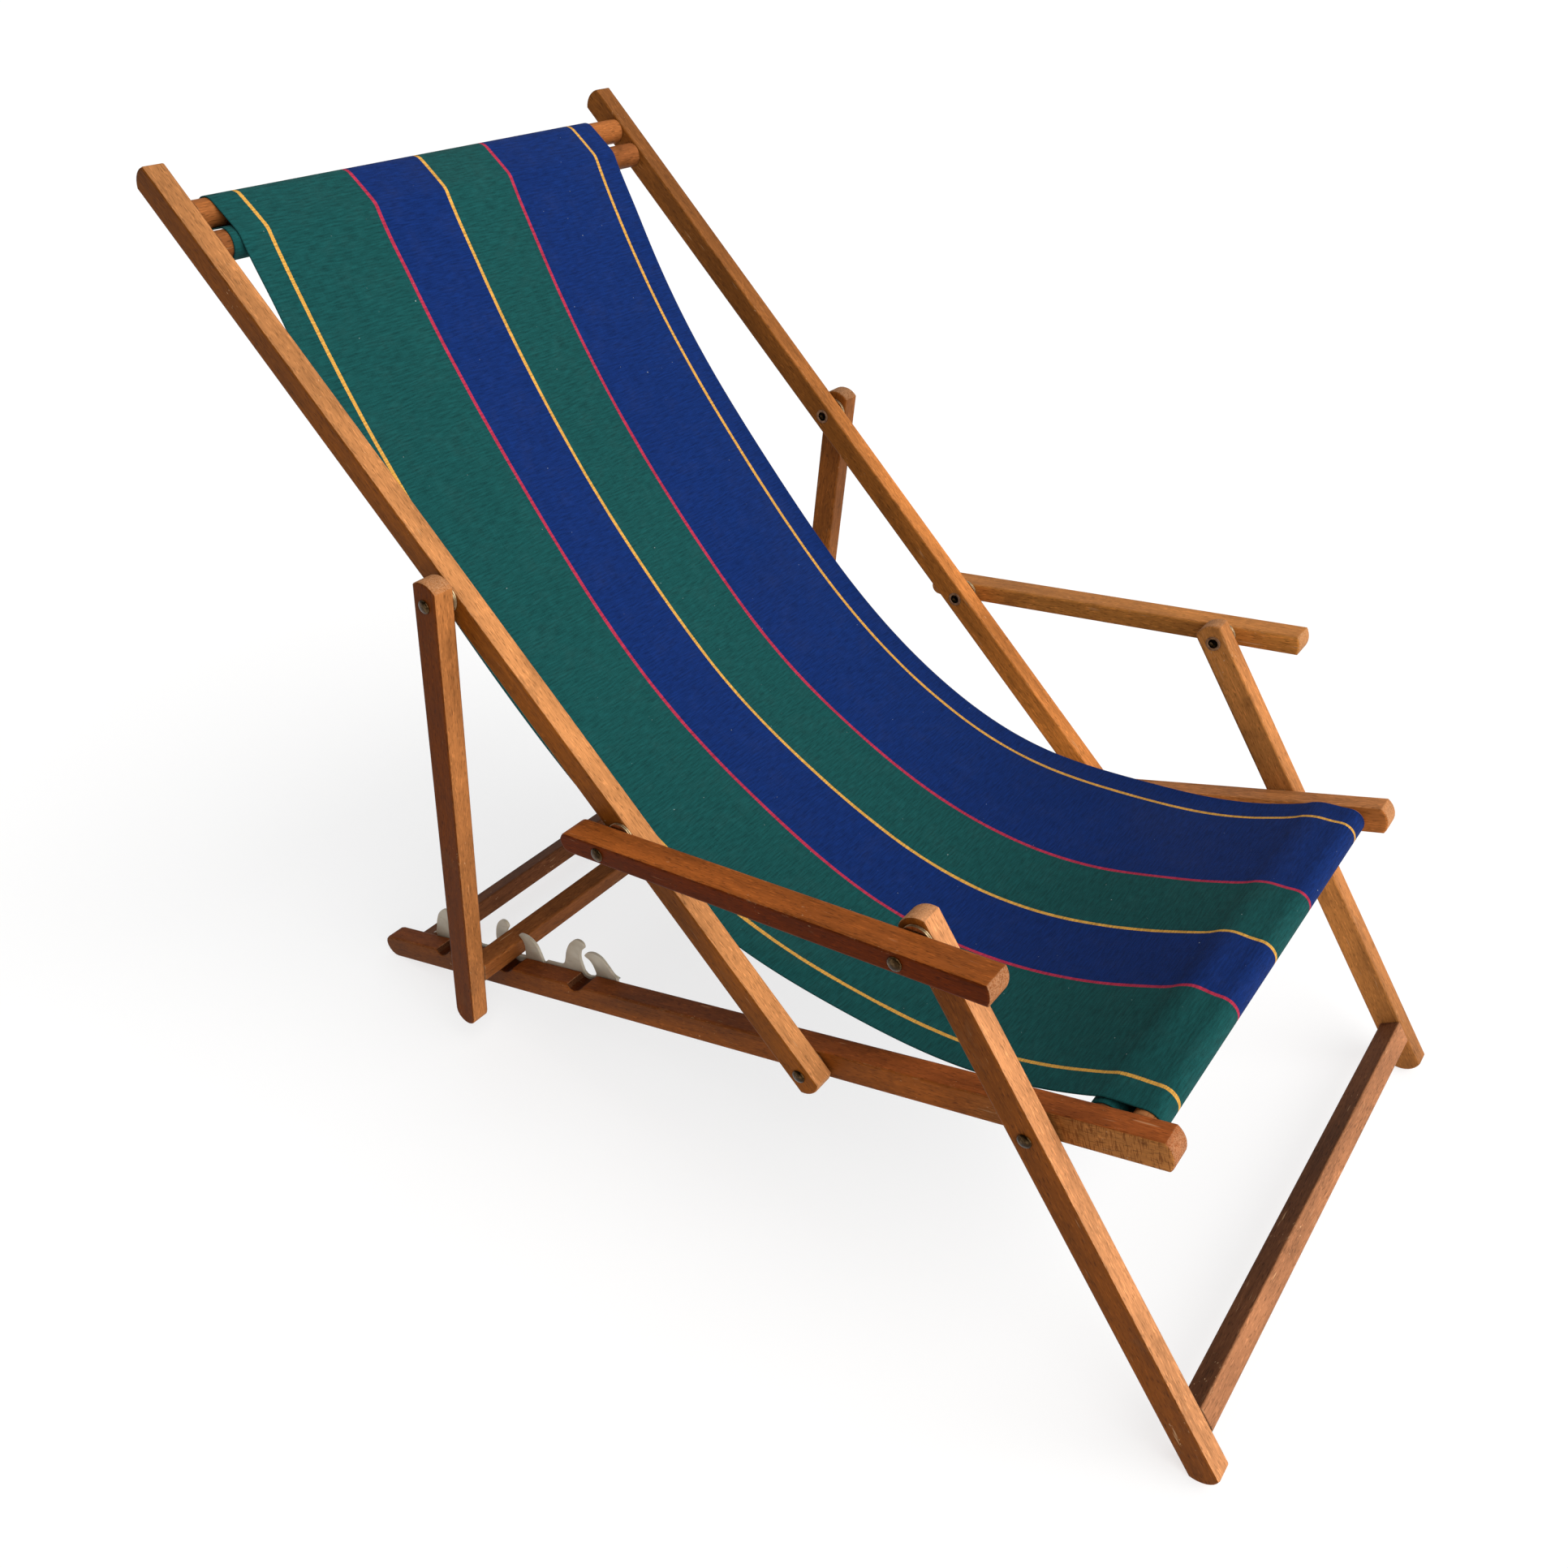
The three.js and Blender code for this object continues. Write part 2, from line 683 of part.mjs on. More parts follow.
// The two cloth pieces part where the sag passes nearest the back hinge
const nearest = sagPoints.reduce((best, point, index) => (
  point.length() < sagPoints[best].length() ? index : best
), 0);
const splitDirection = sagPoints[nearest + 1].clone().sub(sagPoints[nearest]).normalize();
const splitStart = sagPoints[nearest].clone().addScaledVector(splitDirection, fitGap);

function ribbonShape(points, thickness) {
  const left = [];
  const right = [];
  points.forEach((point, index) => {
    const before = points[Math.max(index - 1, 0)];
    const after = points[Math.min(index + 1, points.length - 1)];
    const along = after.clone().sub(before).normalize();
    const side = new THREE.Vector2(-along.y, along.x).multiplyScalar(thickness / 2);
    left.push(point.clone().add(side));
    right.push(point.clone().sub(side));
  });
  return new THREE.Shape([...left, ...right.reverse()]);
}

// The cloth hangs slightly askew, so its middle drifts sideways from top to front
const skew = (canvasShiftFront - canvasShiftTop) / (outerFront.x - upperTop.x);
const skewStart = canvasShiftTop - skew * upperTop.x;

function cloth(points) {
  const sheet = new THREE.ExtrudeGeometry(ribbonShape(points, canvasThickness), {
    depth: canvasWidth,
    bevelEnabled: false,
  });
  sheet.translate(0, 0, -canvasWidth / 2);
  sheet.rotateX(Math.PI / 2);
  sheet.applyMatrix4(new THREE.Matrix4().set(
    1, 0, 0, 0,
    skew, 1, 0, skewStart,
    0, 0, 1, 0,
    0, 0, 0, 1,
  ));
  return sheet;
}

const backCloth = [...topWrap, ...sagPoints.slice(1, nearest + 1)];
const seatCloth = [splitStart, ...sagPoints.slice(nearest + 1, -1), ...frontWrap];
const clothFrame = frameGroup(backHinge, 0);
clothFrame.add(
  mesh('canvas_back', cloth(backCloth), greenCloth),
  mesh('canvas_seat', cloth(seatCloth), blueCloth),
);

// The chair stands on the rear ends of the seat rails and on the feet of the front legs
const rearFoot = new THREE.Vector2(seatRailHeight / 2 - seatRailRear, seatMiddle);
const frontFoot = polar(legHinge, legFoot - endArcRadius, legAngle + Math.PI);
const footOffset = endArcRadius - seatRailHeight / 2;
const pitch = -(bearing(rearFoot, frontFoot) - Math.asin(footOffset / rearFoot.distanceTo(frontFoot)));
const chair = new THREE.Group();
chair.add(seatFrame, backFrame, legFrame, propFrame, armFrame, clothFrame);
chair.rotation.y = -pitch;

// Origin on the floor under the middle of the chair
const object = new THREE.Group();
object.add(chair);
object.updateMatrixWorld(true);
const extent = new THREE.Box3().setFromObject(object, true);
chair.position.set(-(extent.min.x + extent.max.x) / 2, 0, -extent.min.z);

export default object;
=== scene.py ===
import json
import math
import random

import bmesh
import bpy
import numpy as np
from mathutils import Euler, Matrix, Vector


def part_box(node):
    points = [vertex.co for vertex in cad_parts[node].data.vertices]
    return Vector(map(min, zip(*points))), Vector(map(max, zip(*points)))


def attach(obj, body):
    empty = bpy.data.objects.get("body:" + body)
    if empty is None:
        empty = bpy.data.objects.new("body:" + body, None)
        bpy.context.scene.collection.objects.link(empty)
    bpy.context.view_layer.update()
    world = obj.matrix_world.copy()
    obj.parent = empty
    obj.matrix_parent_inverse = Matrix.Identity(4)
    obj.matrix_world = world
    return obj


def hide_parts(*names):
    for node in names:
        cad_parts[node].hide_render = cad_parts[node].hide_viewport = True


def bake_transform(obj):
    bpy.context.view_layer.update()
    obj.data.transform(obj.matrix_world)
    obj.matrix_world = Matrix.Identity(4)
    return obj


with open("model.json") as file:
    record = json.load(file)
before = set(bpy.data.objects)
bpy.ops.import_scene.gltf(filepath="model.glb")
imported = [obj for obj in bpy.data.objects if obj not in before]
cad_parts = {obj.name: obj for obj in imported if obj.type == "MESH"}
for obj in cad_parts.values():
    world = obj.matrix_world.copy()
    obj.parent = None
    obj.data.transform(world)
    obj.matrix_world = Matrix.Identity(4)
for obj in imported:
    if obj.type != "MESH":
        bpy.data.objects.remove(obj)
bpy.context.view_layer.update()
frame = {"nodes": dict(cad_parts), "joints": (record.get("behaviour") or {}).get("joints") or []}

MM = 0.001
SIDES = (("left", 1), ("right", -1))
QUARTER = math.pi / 2

# Layers across the chair, from the middle outwards
SEAT_IN, SEAT_OUT = 226.0, 248.0
FRAME_IN, FRAME_OUT = 250.0, 270.0
ARM_IN, ARM_OUT = 273.4, 300.0
PROP_OUT = 292.8
FIT = 0.3

# Seat rails and dowels, in the side view
SEAT_MID = -2.0
SEAT_RAIL_HEIGHT = 26.0
RAIL_TOP = SEAT_MID + SEAT_RAIL_HEIGHT / 2
DOWEL_RADIUS = 11.5
DOWEL_PITCH = 30.5
DOWEL_EASE = 0.8
TENON_RADIUS = 7.0
TENON_LENGTH = 12.0
TOP_DOWEL_AT = 854.0
FRONT_DOWEL_AT = 279.0

# Notches in the seat rails, from the front one to the rear one
NOTCH_PITCH = 108.0
FRONT_NOTCH = -297.0
NOTCHES = tuple(FRONT_NOTCH - NOTCH_PITCH * index for index in range(3))
NOTCH_IN_USE = 1

# Hinges, measured along the bars
BACK_ANGLE = math.radians(119.5)
LEG_HINGE_REACH = 209.0
ARM_HINGE_REACH = 242.0
PROP_HINGE_REACH = 482.0
ARM_REACH = 282.0
LEG_REACH = ARM_HINGE_REACH + LEG_HINGE_REACH - ARM_REACH
PROP_BAR_OFFSET = 3.3


# Side view of the chair in millimetres, with the back hinge at zero and the seat rails along x
def bearing(one, two):
    return math.atan2(two[1] - one[1], two[0] - one[0])


def polar(origin, reach, angle):
    return origin[0] + reach * math.cos(angle), origin[1] + reach * math.sin(angle)


def joint_place(name):
    """Where a joint of the frame lies, in millimetres."""
    x, _, z = next(joint["pos_m"] for joint in frame["joints"] if joint["name"] == name)
    return x / MM, z / MM


SHIFT = joint_place("fold")
PITCH = bearing(SHIFT, joint_place("prop_swing")) - BACK_ANGLE


def side_to_frame(x, y, z):
    """A side-view place in millimetres, as a place in the frame in metres."""
    c, s = math.cos(PITCH), math.sin(PITCH)
    return Vector((x * c - z * s + SHIFT[0], y, x * s + z * c + SHIFT[1])) * MM


def node_middle(node):
    """The middle of a CAD node's box, as a side-view place in millimetres."""
    low, high = (Vector(corner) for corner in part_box(node))
    middle = (low + high) / 2 / MM
    x, z = middle.x - SHIFT[0], middle.z - SHIFT[1]
    c, s = math.cos(PITCH), math.sin(PITCH)
    return x * c + z * s, z * c - x * s


def find_leg_pin():
    """Where an armrest meets its front leg, from the lengths of the linkage's bars."""
    spread = math.dist(ARM_HINGE, LEG_HINGE)
    cosine = (spread ** 2 + LEG_REACH ** 2 - ARM_REACH ** 2) / (2 * spread * LEG_REACH)
    return polar(LEG_HINGE, LEG_REACH, bearing(LEG_HINGE, ARM_HINGE) - math.acos(cosine))


BACK_HINGE = (0.0, 0.0)
LEG_HINGE = (LEG_HINGE_REACH, 0.0)
ARM_HINGE = polar(BACK_HINGE, ARM_HINGE_REACH, BACK_ANGLE)
PROP_HINGE = polar(BACK_HINGE, PROP_HINGE_REACH, BACK_ANGLE)
PROP_BAR = node_middle("prop_crossbar")
LEG_PIN = find_leg_pin()
PROP_ANGLE = bearing(PROP_HINGE, PROP_BAR) - math.asin(PROP_BAR_OFFSET / math.dist(PROP_HINGE, PROP_BAR))
FRAMES = {
    "seat": (BACK_HINGE, 0.0),
    "back": (BACK_HINGE, BACK_ANGLE),
    "leg": (LEG_HINGE, bearing(LEG_PIN, LEG_HINGE)),
    "prop": (PROP_HINGE, PROP_ANGLE),
    "arm": (ARM_HINGE, bearing(ARM_HINGE, LEG_PIN)),
}


def bar_matrix(name, x=0.0, y=0.0, z=0.0):
    """The frame's matrix for a place x, y, z millimetres along a bar's own axes."""
    origin, angle = FRAMES[name]
    at = polar(polar(origin, x, angle), z, angle + QUARTER)
    turn = Matrix.Rotation(-(angle + PITCH), 4, "Y")
    return Matrix.Translation(side_to_frame(at[0], y, at[1])) @ turn


# Camera, lamps and floor. The camera was fitted to the photograph: its focal length and centre are in
# the photograph's pixels, its turn in degrees and its place in millimetres
PHOTO_SIZE = 1932
CAMERA_FOCAL = 1626.293
CAMERA_CENTRE = (958.181, 956.657)
CAMERA_TURN = (55.42082, 0.54294, 37.1875)
CAMERA_PLACE = (580.837, -869.649, 1010.085)
SENSOR_WIDTH = 36.0

# Each lamp has its direction from the chair, its width in degrees, its strength and its colour
LAMPS = {
    "key": ((0.80, 0.02, 0.60), 80, 4.3, (1.0, 0.985, 0.965)),
    "fill": ((-0.55, 0.55, 0.62), 90, 0.7, (0.96, 0.98, 1.0)),
}
WORLD_STRENGTH = 0.22
FLOOR_HALF = 40.0
FLOOR_GREY = 0.30
FLOOR_GLOW = 0.70


def camera():
    data = bpy.data.cameras.new("view")
    data.sensor_width = SENSOR_WIDTH
    data.lens = CAMERA_FOCAL * SENSOR_WIDTH / PHOTO_SIZE
    data.shift_x = (PHOTO_SIZE / 2 - CAMERA_CENTRE[0]) / PHOTO_SIZE
    data.shift_y = (CAMERA_CENTRE[1] - PHOTO_SIZE / 2) / PHOTO_SIZE
    data.clip_start = 0.01
    cam = bpy.data.objects.new("view", data)
    turn = Euler([math.radians(degrees) for degrees in CAMERA_TURN])
    cam.matrix_world = Matrix.LocRotScale(Vector(CAMERA_PLACE) * MM, turn, None)
    bpy.context.scene.collection.objects.link(cam)
    bpy.context.scene.camera = cam


def soft_sun(name, towards, width, strength, colour):
    """A wide, far lamp; towards points from the chair to the lamp."""
    data = bpy.data.lights.new(name, "SUN")
    data.angle = math.radians(width)
    data.energy = strength
    data.color = colour
    lamp = bpy.data.objects.new(name, data)
    lamp.rotation_euler = Vector(towards).to_track_quat("Z", "Y").to_euler()
    bpy.context.scene.collection.objects.link(lamp)


def floor_material():
    material = bpy.data.materials.new("floor")
    material.use_nodes = True
    inputs = material.node_tree.nodes["Principled BSDF"].inputs
    inputs["Base Color"].default_value = (FLOOR_GREY, FLOOR_GREY, FLOOR_GREY, 1)
    inputs["Roughness"].default_value = 0.9
    inputs["Specular IOR Level"].default_value = 0.0
    inputs["Emission Color"].default_value = (1.0, 1.0, 1.0, 1)
    inputs["Emission Strength"].default_value = FLOOR_GLOW
    return material


def stage():
    scene = bpy.context.scene
    scene.view_settings.view_transform = "Standard"
    scene.world = bpy.data.worlds.new("studio")
    scene.world.use_nodes = True
    back = scene.world.node_tree.nodes["Background"]
    back.inputs["Color"].default_value = (1.0, 1.0, 1.0, 1)
    back.inputs["Strength"].default_value = WORLD_STRENGTH
    for name, lamp in LAMPS.items():
        soft_sun(name, *lamp)
    mesh = bpy.data.meshes.new("floor")
    half = FLOOR_HALF
    corners = [(-half, -half, 0), (half, -half, 0), (half, half, 0), (-half, half, 0)]
    mesh.from_pydata(corners, [], [(0, 1, 2, 3)])
    mesh.materials.append(floor_material())
    floor = bpy.data.objects.new("floor", mesh)
    scene.collection.objects.link(floor)


# Node helpers
class Net:
    """A material's node tree, with short calls for the nodes that the looks are made of."""

    def __init__(self, name):
        self.material = bpy.data.materials.new(name)
        self.material.use_nodes = True
        self.tree = self.material.node_tree
        self.shader = self.tree.nodes["Principled BSDF"]

    def node(self, kind, **settings):
        made = self.tree.nodes.new(kind)
        for key, value in settings.items():
            setattr(made, key, value)
        return made

    def feed(self, socket, value):
        """Links a socket to another one, or sets its value."""
        if isinstance(value, bpy.types.NodeSocket):
            self.tree.links.new(value, socket)
        else:
            socket.default_value = value

    def math(self, operation, *values, clamp=False):
        made = self.node("ShaderNodeMath", operation=operation, use_clamp=clamp)
        for socket, value in zip(made.inputs, values):
            self.feed(socket, value)
        return made.outputs[0]

    def vector_math(self, operation, *values):
        made = self.node("ShaderNodeVectorMath", operation=operation)
        for socket, value in zip(made.inputs, values):
            self.feed(socket, value)
        return made.outputs

    def times(self, value, *factors):
        for factor in factors:
            value = self.math("MULTIPLY", value, factor)
        return value

    def split(self, vector):
        made = self.node("ShaderNodeSeparateXYZ")
        self.feed(made.inputs[0], vector)
        return made.outputs

    def mapping(self, vector, location=(0, 0, 0), rotation=(0, 0, 0), scale=(1, 1, 1)):
        made = self.node("ShaderNodeMapping")
        self.feed(made.inputs["Vector"], vector)
        self.feed(made.inputs["Location"], location)
        self.feed(made.inputs["Rotation"], rotation)
        self.feed(made.inputs["Scale"], scale)
        return made.outputs[0]

    def noise(self, vector, scale, detail=2.0, rough=0.5):
        made = self.node("ShaderNodeTexNoise")
        self.feed(made.inputs["Vector"], vector)
        self.feed(made.inputs["Scale"], scale)
        self.feed(made.inputs["Detail"], detail)
        self.feed(made.inputs["Roughness"], rough)
        return made.outputs["Fac"]

    def streaks(self, vector, scale, detail=2.0, rough=0.5, location=(0, 0, 0)):
        """Noise with its own scale along each axis."""
        return self.noise(self.mapping(vector, location, scale=scale), 1.0, detail, rough)

    def span(self, value, low, high, out_low=0.0, out_high=1.0, smooth=False):
        """Turns the range from low to high into the one from out_low to out_high."""
        made = self.node("ShaderNodeMapRange", interpolation_type="SMOOTHSTEP" if smooth else "LINEAR")
        self.feed(made.inputs["Value"], value)
        self.feed(made.inputs["From Min"], low)
        self.feed(made.inputs["From Max"], high)
        self.feed(made.inputs["To Min"], out_low)
        self.feed(made.inputs["To Max"], out_high)
        return made.outputs[0]

    def ramp(self, value, *stops):
        made = self.node("ShaderNodeValToRGB")
        elements = made.color_ramp.elements
        while len(elements) < len(stops):
            elements.new(0.5)
        for element, (place, colour) in zip(elements, stops):
            element.position = place
            element.color = (*colour, 1)
        self.feed(made.inputs[0], value)
        return made.outputs[0]

    def mix(self, factor, one, two, blend="MIX"):
        made = self.node("ShaderNodeMix", data_type="RGBA", blend_type=blend)
        self.feed(made.inputs[0], factor)
        for socket, value in ((made.inputs[6], one), (made.inputs[7], two)):
            self.feed(socket, (*value, 1) if isinstance(value, tuple) else value)
        return made.outputs[2]

    def shade(self, colour, value):
        """Multiplies all channels of a colour by one value."""
        grey = self.node("ShaderNodeCombineColor")
        for socket in grey.inputs:
            self.feed(socket, value)
        return self.mix(1.0, colour, grey.outputs[0], "MULTIPLY")

    def bump(self, height, strength, distance, normal=None):
        made = self.node("ShaderNodeBump")
        self.feed(made.inputs["Strength"], strength)
        self.feed(made.inputs["Distance"], distance)
        self.feed(made.inputs["Height"], height)
        if normal is not None:
            self.feed(made.inputs["Normal"], normal)
        return made.outputs[0]

    def edges(self, radius, low, high):
        """White along edges within radius metres, and the rounded normal."""
        rounded = self.node("ShaderNodeBevel", samples=6)
        self.feed(rounded.inputs["Radius"], radius)
        flat = self.node("ShaderNodeNewGeometry").outputs["Normal"]
        likeness = self.vector_math("DOT_PRODUCT", rounded.outputs[0], flat)["Value"]
        return self.span(likeness, 1 - low, 1 - high), rounded.outputs[0]

    def finish(self, colour, roughness, normal, **settings):
        self.feed(self.shader.inputs["Base Color"], colour)
        self.feed(self.shader.inputs["Roughness"], roughness)
        self.feed(self.shader.inputs["Normal"], normal)
        for key, value in settings.items():
            self.feed(self.shader.inputs[key.replace("_", " ")], value)
        return self.material


def dim(colour, share):
    return tuple(channel * share for channel in colour)


# Wood colours that more than one piece has, and the share of end grain in the ends' colour. The dark tone is
# the wood with painted shade, for pieces that sit in shade, and the notch colour is painted shade in the
# notches
SHADED_WOOD = (0.150, 0.052, 0.019)
RUBBED = (0.64, 0.40, 0.21)
END_GRAIN = (0.44, 0.245, 0.130)
NOTCH_SHADE = (0.30, 0.24, 0.20)
END_SHARE = 0.5

# How often each layer of the wood's look varies in a metre: along the grain, and both ways across it
BANDS = (1.6, 85.0, 85.0)
FIBRES = (16.0, 560.0, 560.0)
MOTTLE = (55.0, 190.0, 190.0)
FLECKS = (150.0, 1150.0, 1150.0)
GLINTS = (130.0, 900.0, 900.0)
CLOUDS = (7.0, 26.0, 26.0)
CHECKS = (880.0, 105.0, 105.0)
SCUFFS = (26.0, 330.0, 330.0)
CHIPS = (230.0, 420.0, 420.0)
NICKS = (150.0, 300.0, 300.0)
PORES = (200.0, 900.0, 900.0)
GRAIN_BEND = 0.012

# The painted shade in a notch reaches this far to both sides of its middle, and ends this far under the
# rail's top
NOTCH_HALF = 14.0
NOTCH_SHADE_DROP = 0.6


def grain_frame(bar, offset):
    """The move and turn that put the object's coordinates along the grain, with x first."""
    if bar is None:
        return offset, (0, 0, -QUARTER)
    origin, angle = FRAMES[bar]
    turn = angle + PITCH
    back = Matrix.Rotation(turn, 3, "Y") @ side_to_frame(origin[0], 0, origin[1])
    return offset - back, (0, turn, 0)


def wood_grain(net, local, tone):
    """Long grain with short dark flecks and glints, as a colour and as a height."""
    warp = net.noise(local, 9.0)
    bent = net.vector_math("MULTIPLY_ADD", warp, (0.0, GRAIN_BEND, GRAIN_BEND), local)[0]
    bands = net.streaks(bent, BANDS, 3.0, 0.6)
    fibre = net.streaks(bent, FIBRES, 3.0, 0.65)
    mottle = net.streaks(bent, MOTTLE, 3.0, 0.6)
    grain = net.math("MULTIPLY_ADD", fibre, 0.38, net.times(bands, 0.36))
    grain = net.math("MULTIPLY_ADD", mottle, 0.26, grain)
    colour = net.ramp(grain, (0.32, dim(tone, 0.58)), (0.46, dim(tone, 0.90)),
                      (0.56, dim(tone, 1.06)), (0.70, dim(tone, 1.34)))
    flecks = net.span(net.streaks(local, FLECKS, 1.0), 0.42, 0.31, 0.0, 0.62)
    colour = net.mix(flecks, colour, dim(tone, 0.30))
    glints = net.span(net.streaks(local, GLINTS, 1.0, location=(5, 1, 2)), 0.60, 0.72, 0.0, 0.5)
    colour = net.mix(glints, colour, dim(tone, 1.75))
    height = net.math("ADD", net.times(fibre, 0.6), net.times(bands, 0.4))
    return colour, net.math("SUBTRACT", height, net.times(flecks, 0.5))


def wood_wear(net, local, colour, tone, wear, scuffs):
    """Patches of grime, pale scuffs along the grain, a few chips where it is worn, and rubbed and
    nicked edges. Gives the colour, the chips, the rubbed edges and the rounded normal."""
    dirt = net.span(net.noise(local, 21.0, 4.0, 0.7), 0.60, 0.76, 0.0, 0.50)
    colour = net.mix(dirt, colour, dim(tone, 0.28))
    scuff = net.span(net.streaks(local, SCUFFS), 0.70, 0.77, 0.0, scuffs * 0.7)
    worn = net.span(net.noise(local, 16.0, 3.0, 0.6), 0.54, 0.64)
    chip = net.times(net.span(net.streaks(local, CHIPS), 0.70, 0.735, 0.0, scuffs), worn)
    colour = net.mix(net.math("MAXIMUM", scuff, chip), colour, RUBBED)
    edges, rounded = net.edges(0.0022, 0.02, 0.22)
    rub = net.times(edges, net.span(net.noise(local, 85.0, 5.0, 0.75), 0.50, 0.64), wear)
    colour = net.mix(rub, colour, RUBBED)
    wide_edges, _ = net.edges(0.005, 0.01, 0.12)
    nicks = net.span(net.streaks(local, NICKS, 3.0, 0.6), 0.60, 0.655, 0.0, 0.9)
    nicks = net.times(nicks, wide_edges, net.span(worn, 0.0, 1.0, 0.25, 1.0), scuffs)
    colour = net.mix(nicks, colour, dim(RUBBED, 1.1))
    return colour, chip, rub, rounded


def wood(name, tone, seed, bar=None, wear=0.45, blotch=0.35, scuffs=0.5, tint=None, fade=None,
         hollows=(), shaded_side=None, tip=None):
    """Oiled beech: long grain, short dark flecks, blotches, rubbed edges, small chips and end grain.
    bar names the side-view frame whose first axis the grain follows, and the colour given for such a bar's
    wide faces multiplies them as painted light and shade; None is a cross piece, whose grain follows the
    object's y. fade gives two places along the bar in millimetres and the tone's shares there. hollows are
    the places of a rail's notches, darkened inside with painted shade. The shaded side is the angle in the
    frame's side view that the faces with painted shade look at, and its share. tip is a bleached end of the
    wide faces with fine checks: two places and the bleached colour that takes the place of the painted side
    shade there."""
    net = Net(name)
    rng = random.Random(seed)
    offset = Vector([rng.uniform(-3, 3) for _ in range(3)])
    start, spin = grain_frame(bar, offset)
    coords = net.node("ShaderNodeTexCoord").outputs
    local = net.mapping(coords["Object"], start, spin)
    along, _, upwards = net.split(local)
    faces_along, faces_across, _ = net.split(net.mapping(coords["Normal"], rotation=spin))

    def between(first, last, *shares, smooth=False):
        """Goes from one share to another between two places along the bar in millimetres."""
        return net.span(along, offset.x + first * MM, offset.x + last * MM, *shares, smooth=smooth)

    colour, height = wood_grain(net, local, tone)
    cloud = net.streaks(local, CLOUDS, 3.0, 0.55)
    cloudy = net.span(cloud, 0.30, 0.72, 1 - blotch, 1 + blotch * 0.45)
    if fade:
        cloudy = net.times(cloudy, between(*fade, smooth=True))
    colour = net.shade(colour, cloudy)

    # Painted light and shade on the wide faces, and painted shade on the faces that look one way
    if bar:
        wide = net.span(net.math("ABSOLUTE", faces_across), 0.55, 0.95, smooth=True)
        if tip:
            bleached = between(*tip[:2])
            tint = net.mix(bleached, tint, tip[2])
        colour = net.mix(wide, colour, tint, "MULTIPLY")
        if tip:
            checks = net.span(net.streaks(local, CHECKS, 1.5), 0.47, 0.39, 0.0, 0.62)
            colour = net.mix(net.times(checks, bleached, bleached, wide), colour, dim(tone, 0.40))
    # Painted shade on the faces that look at the given angle in the side view
    if shaded_side:
        towards = (math.cos(shaded_side[0]), 0, math.sin(shaded_side[0]))
        facing = net.vector_math("DOT_PRODUCT", coords["Normal"], towards)["Value"]
        colour = net.mix(net.span(facing, 0.75, 0.95), colour, shaded_side[1], "MULTIPLY")

    colour, chip, rub, rounded = wood_wear(net, local, colour, tone, wear, scuffs)

    # End grain on faces that look along the bar, and painted shade in the notches
    end = net.span(net.math("ABSOLUTE", faces_along), 0.62, 0.86)
    pores = net.streaks(local, PORES, 3.0, 0.7)
    end_colour = net.ramp(pores, (0.36, dim(tone, 0.45)), (0.5, dim(END_GRAIN, 0.75)),
                          (0.68, dim(END_GRAIN, 1.25)))
    colour = net.mix(net.times(end, END_SHARE), colour, end_colour)
    for place in hollows:
        near = net.math("COMPARE", along, offset.x + place * MM, NOTCH_HALF * MM)
        below = net.math("LESS_THAN", upwards, offset.z + (RAIL_TOP - NOTCH_SHADE_DROP) * MM)
        inside = net.times(near, below, net.math("SUBTRACT", 1.0, wide))
        colour = net.mix(inside, colour, NOTCH_SHADE, "MULTIPLY")

    rough = net.span(cloud, 0.2, 0.8, 0.40, 0.62)
    rough = net.math("ADD", rough, net.times(rub, 0.25))
    rough = net.math("ADD", rough, net.times(end, 0.22), clamp=True)
    height = net.math("SUBTRACT", height, net.times(chip, 1.2))
    height = net.math("MULTIPLY_ADD", end, net.times(pores, 1.4), height)
    bump = net.bump(height, 0.5, 0.00022, rounded)
    return net.finish(colour, rough, bump, Specular_IOR_Level=0.04)


# Plastic and metal
def rack_plastic():
    net = Net("rack_plastic")
    coords = net.node("ShaderNodeTexCoord").outputs["Object"]
    cloud = net.noise(coords, 28.0, 3.0, 0.6)
    colour = net.ramp(cloud, (0.30, (0.34, 0.28, 0.20)), (0.52, (0.44, 0.38, 0.29)),
                      (0.75, (0.54, 0.49, 0.40)))
    specks = net.span(net.noise(coords, 620.0), 0.70, 0.76, 0.0, 0.5)
    colour = net.mix(specks, colour, (0.20, 0.14, 0.09))
    yellowed = net.span(net.streaks(coords, (60.0, 60.0, 260.0)), 0.60, 0.75, 0.0, 0.45)
    colour = net.mix(yellowed, colour, (0.33, 0.24, 0.15))
    edges, rounded = net.edges(0.0012, 0.02, 0.3)
    colour = net.mix(net.times(edges, 0.35), colour, (0.70, 0.65, 0.56))
    rough = net.span(cloud, 0.3, 0.7, 0.34, 0.5)
    bump = net.bump(net.noise(coords, 480.0), 0.25, 0.0002, rounded)
    return net.finish(colour, rough, bump, Subsurface_Weight=0.25,
                      Subsurface_Radius=(0.004, 0.003, 0.002), Subsurface_Scale=1.0)


def metal(name, tones, rust, rough_low, rough_high, metallic=1.0):
    """Aged metal that goes through three tones, with spots of rust."""
    net = Net(name)
    coords = net.node("ShaderNodeTexCoord").outputs["Object"]
    cloud = net.noise(coords, 260.0, 4.0, 0.65)
    colour = net.ramp(cloud, *zip((0.30, 0.52, 0.72), tones))
    spots = net.span(net.noise(coords, 442.0, 3.0, 0.7), 0.60, 0.70, 0.0, 0.7)
    colour = net.mix(spots, colour, rust)
    rough = net.span(cloud, 0.3, 0.7, rough_low, rough_high)
    rough = net.math("ADD", rough, net.times(spots, 0.25), clamp=True)
    bump = net.bump(net.math("SUBTRACT", cloud, spots), 0.3, 0.0001)
    return net.finish(colour, rough, bump, Metallic=metallic)


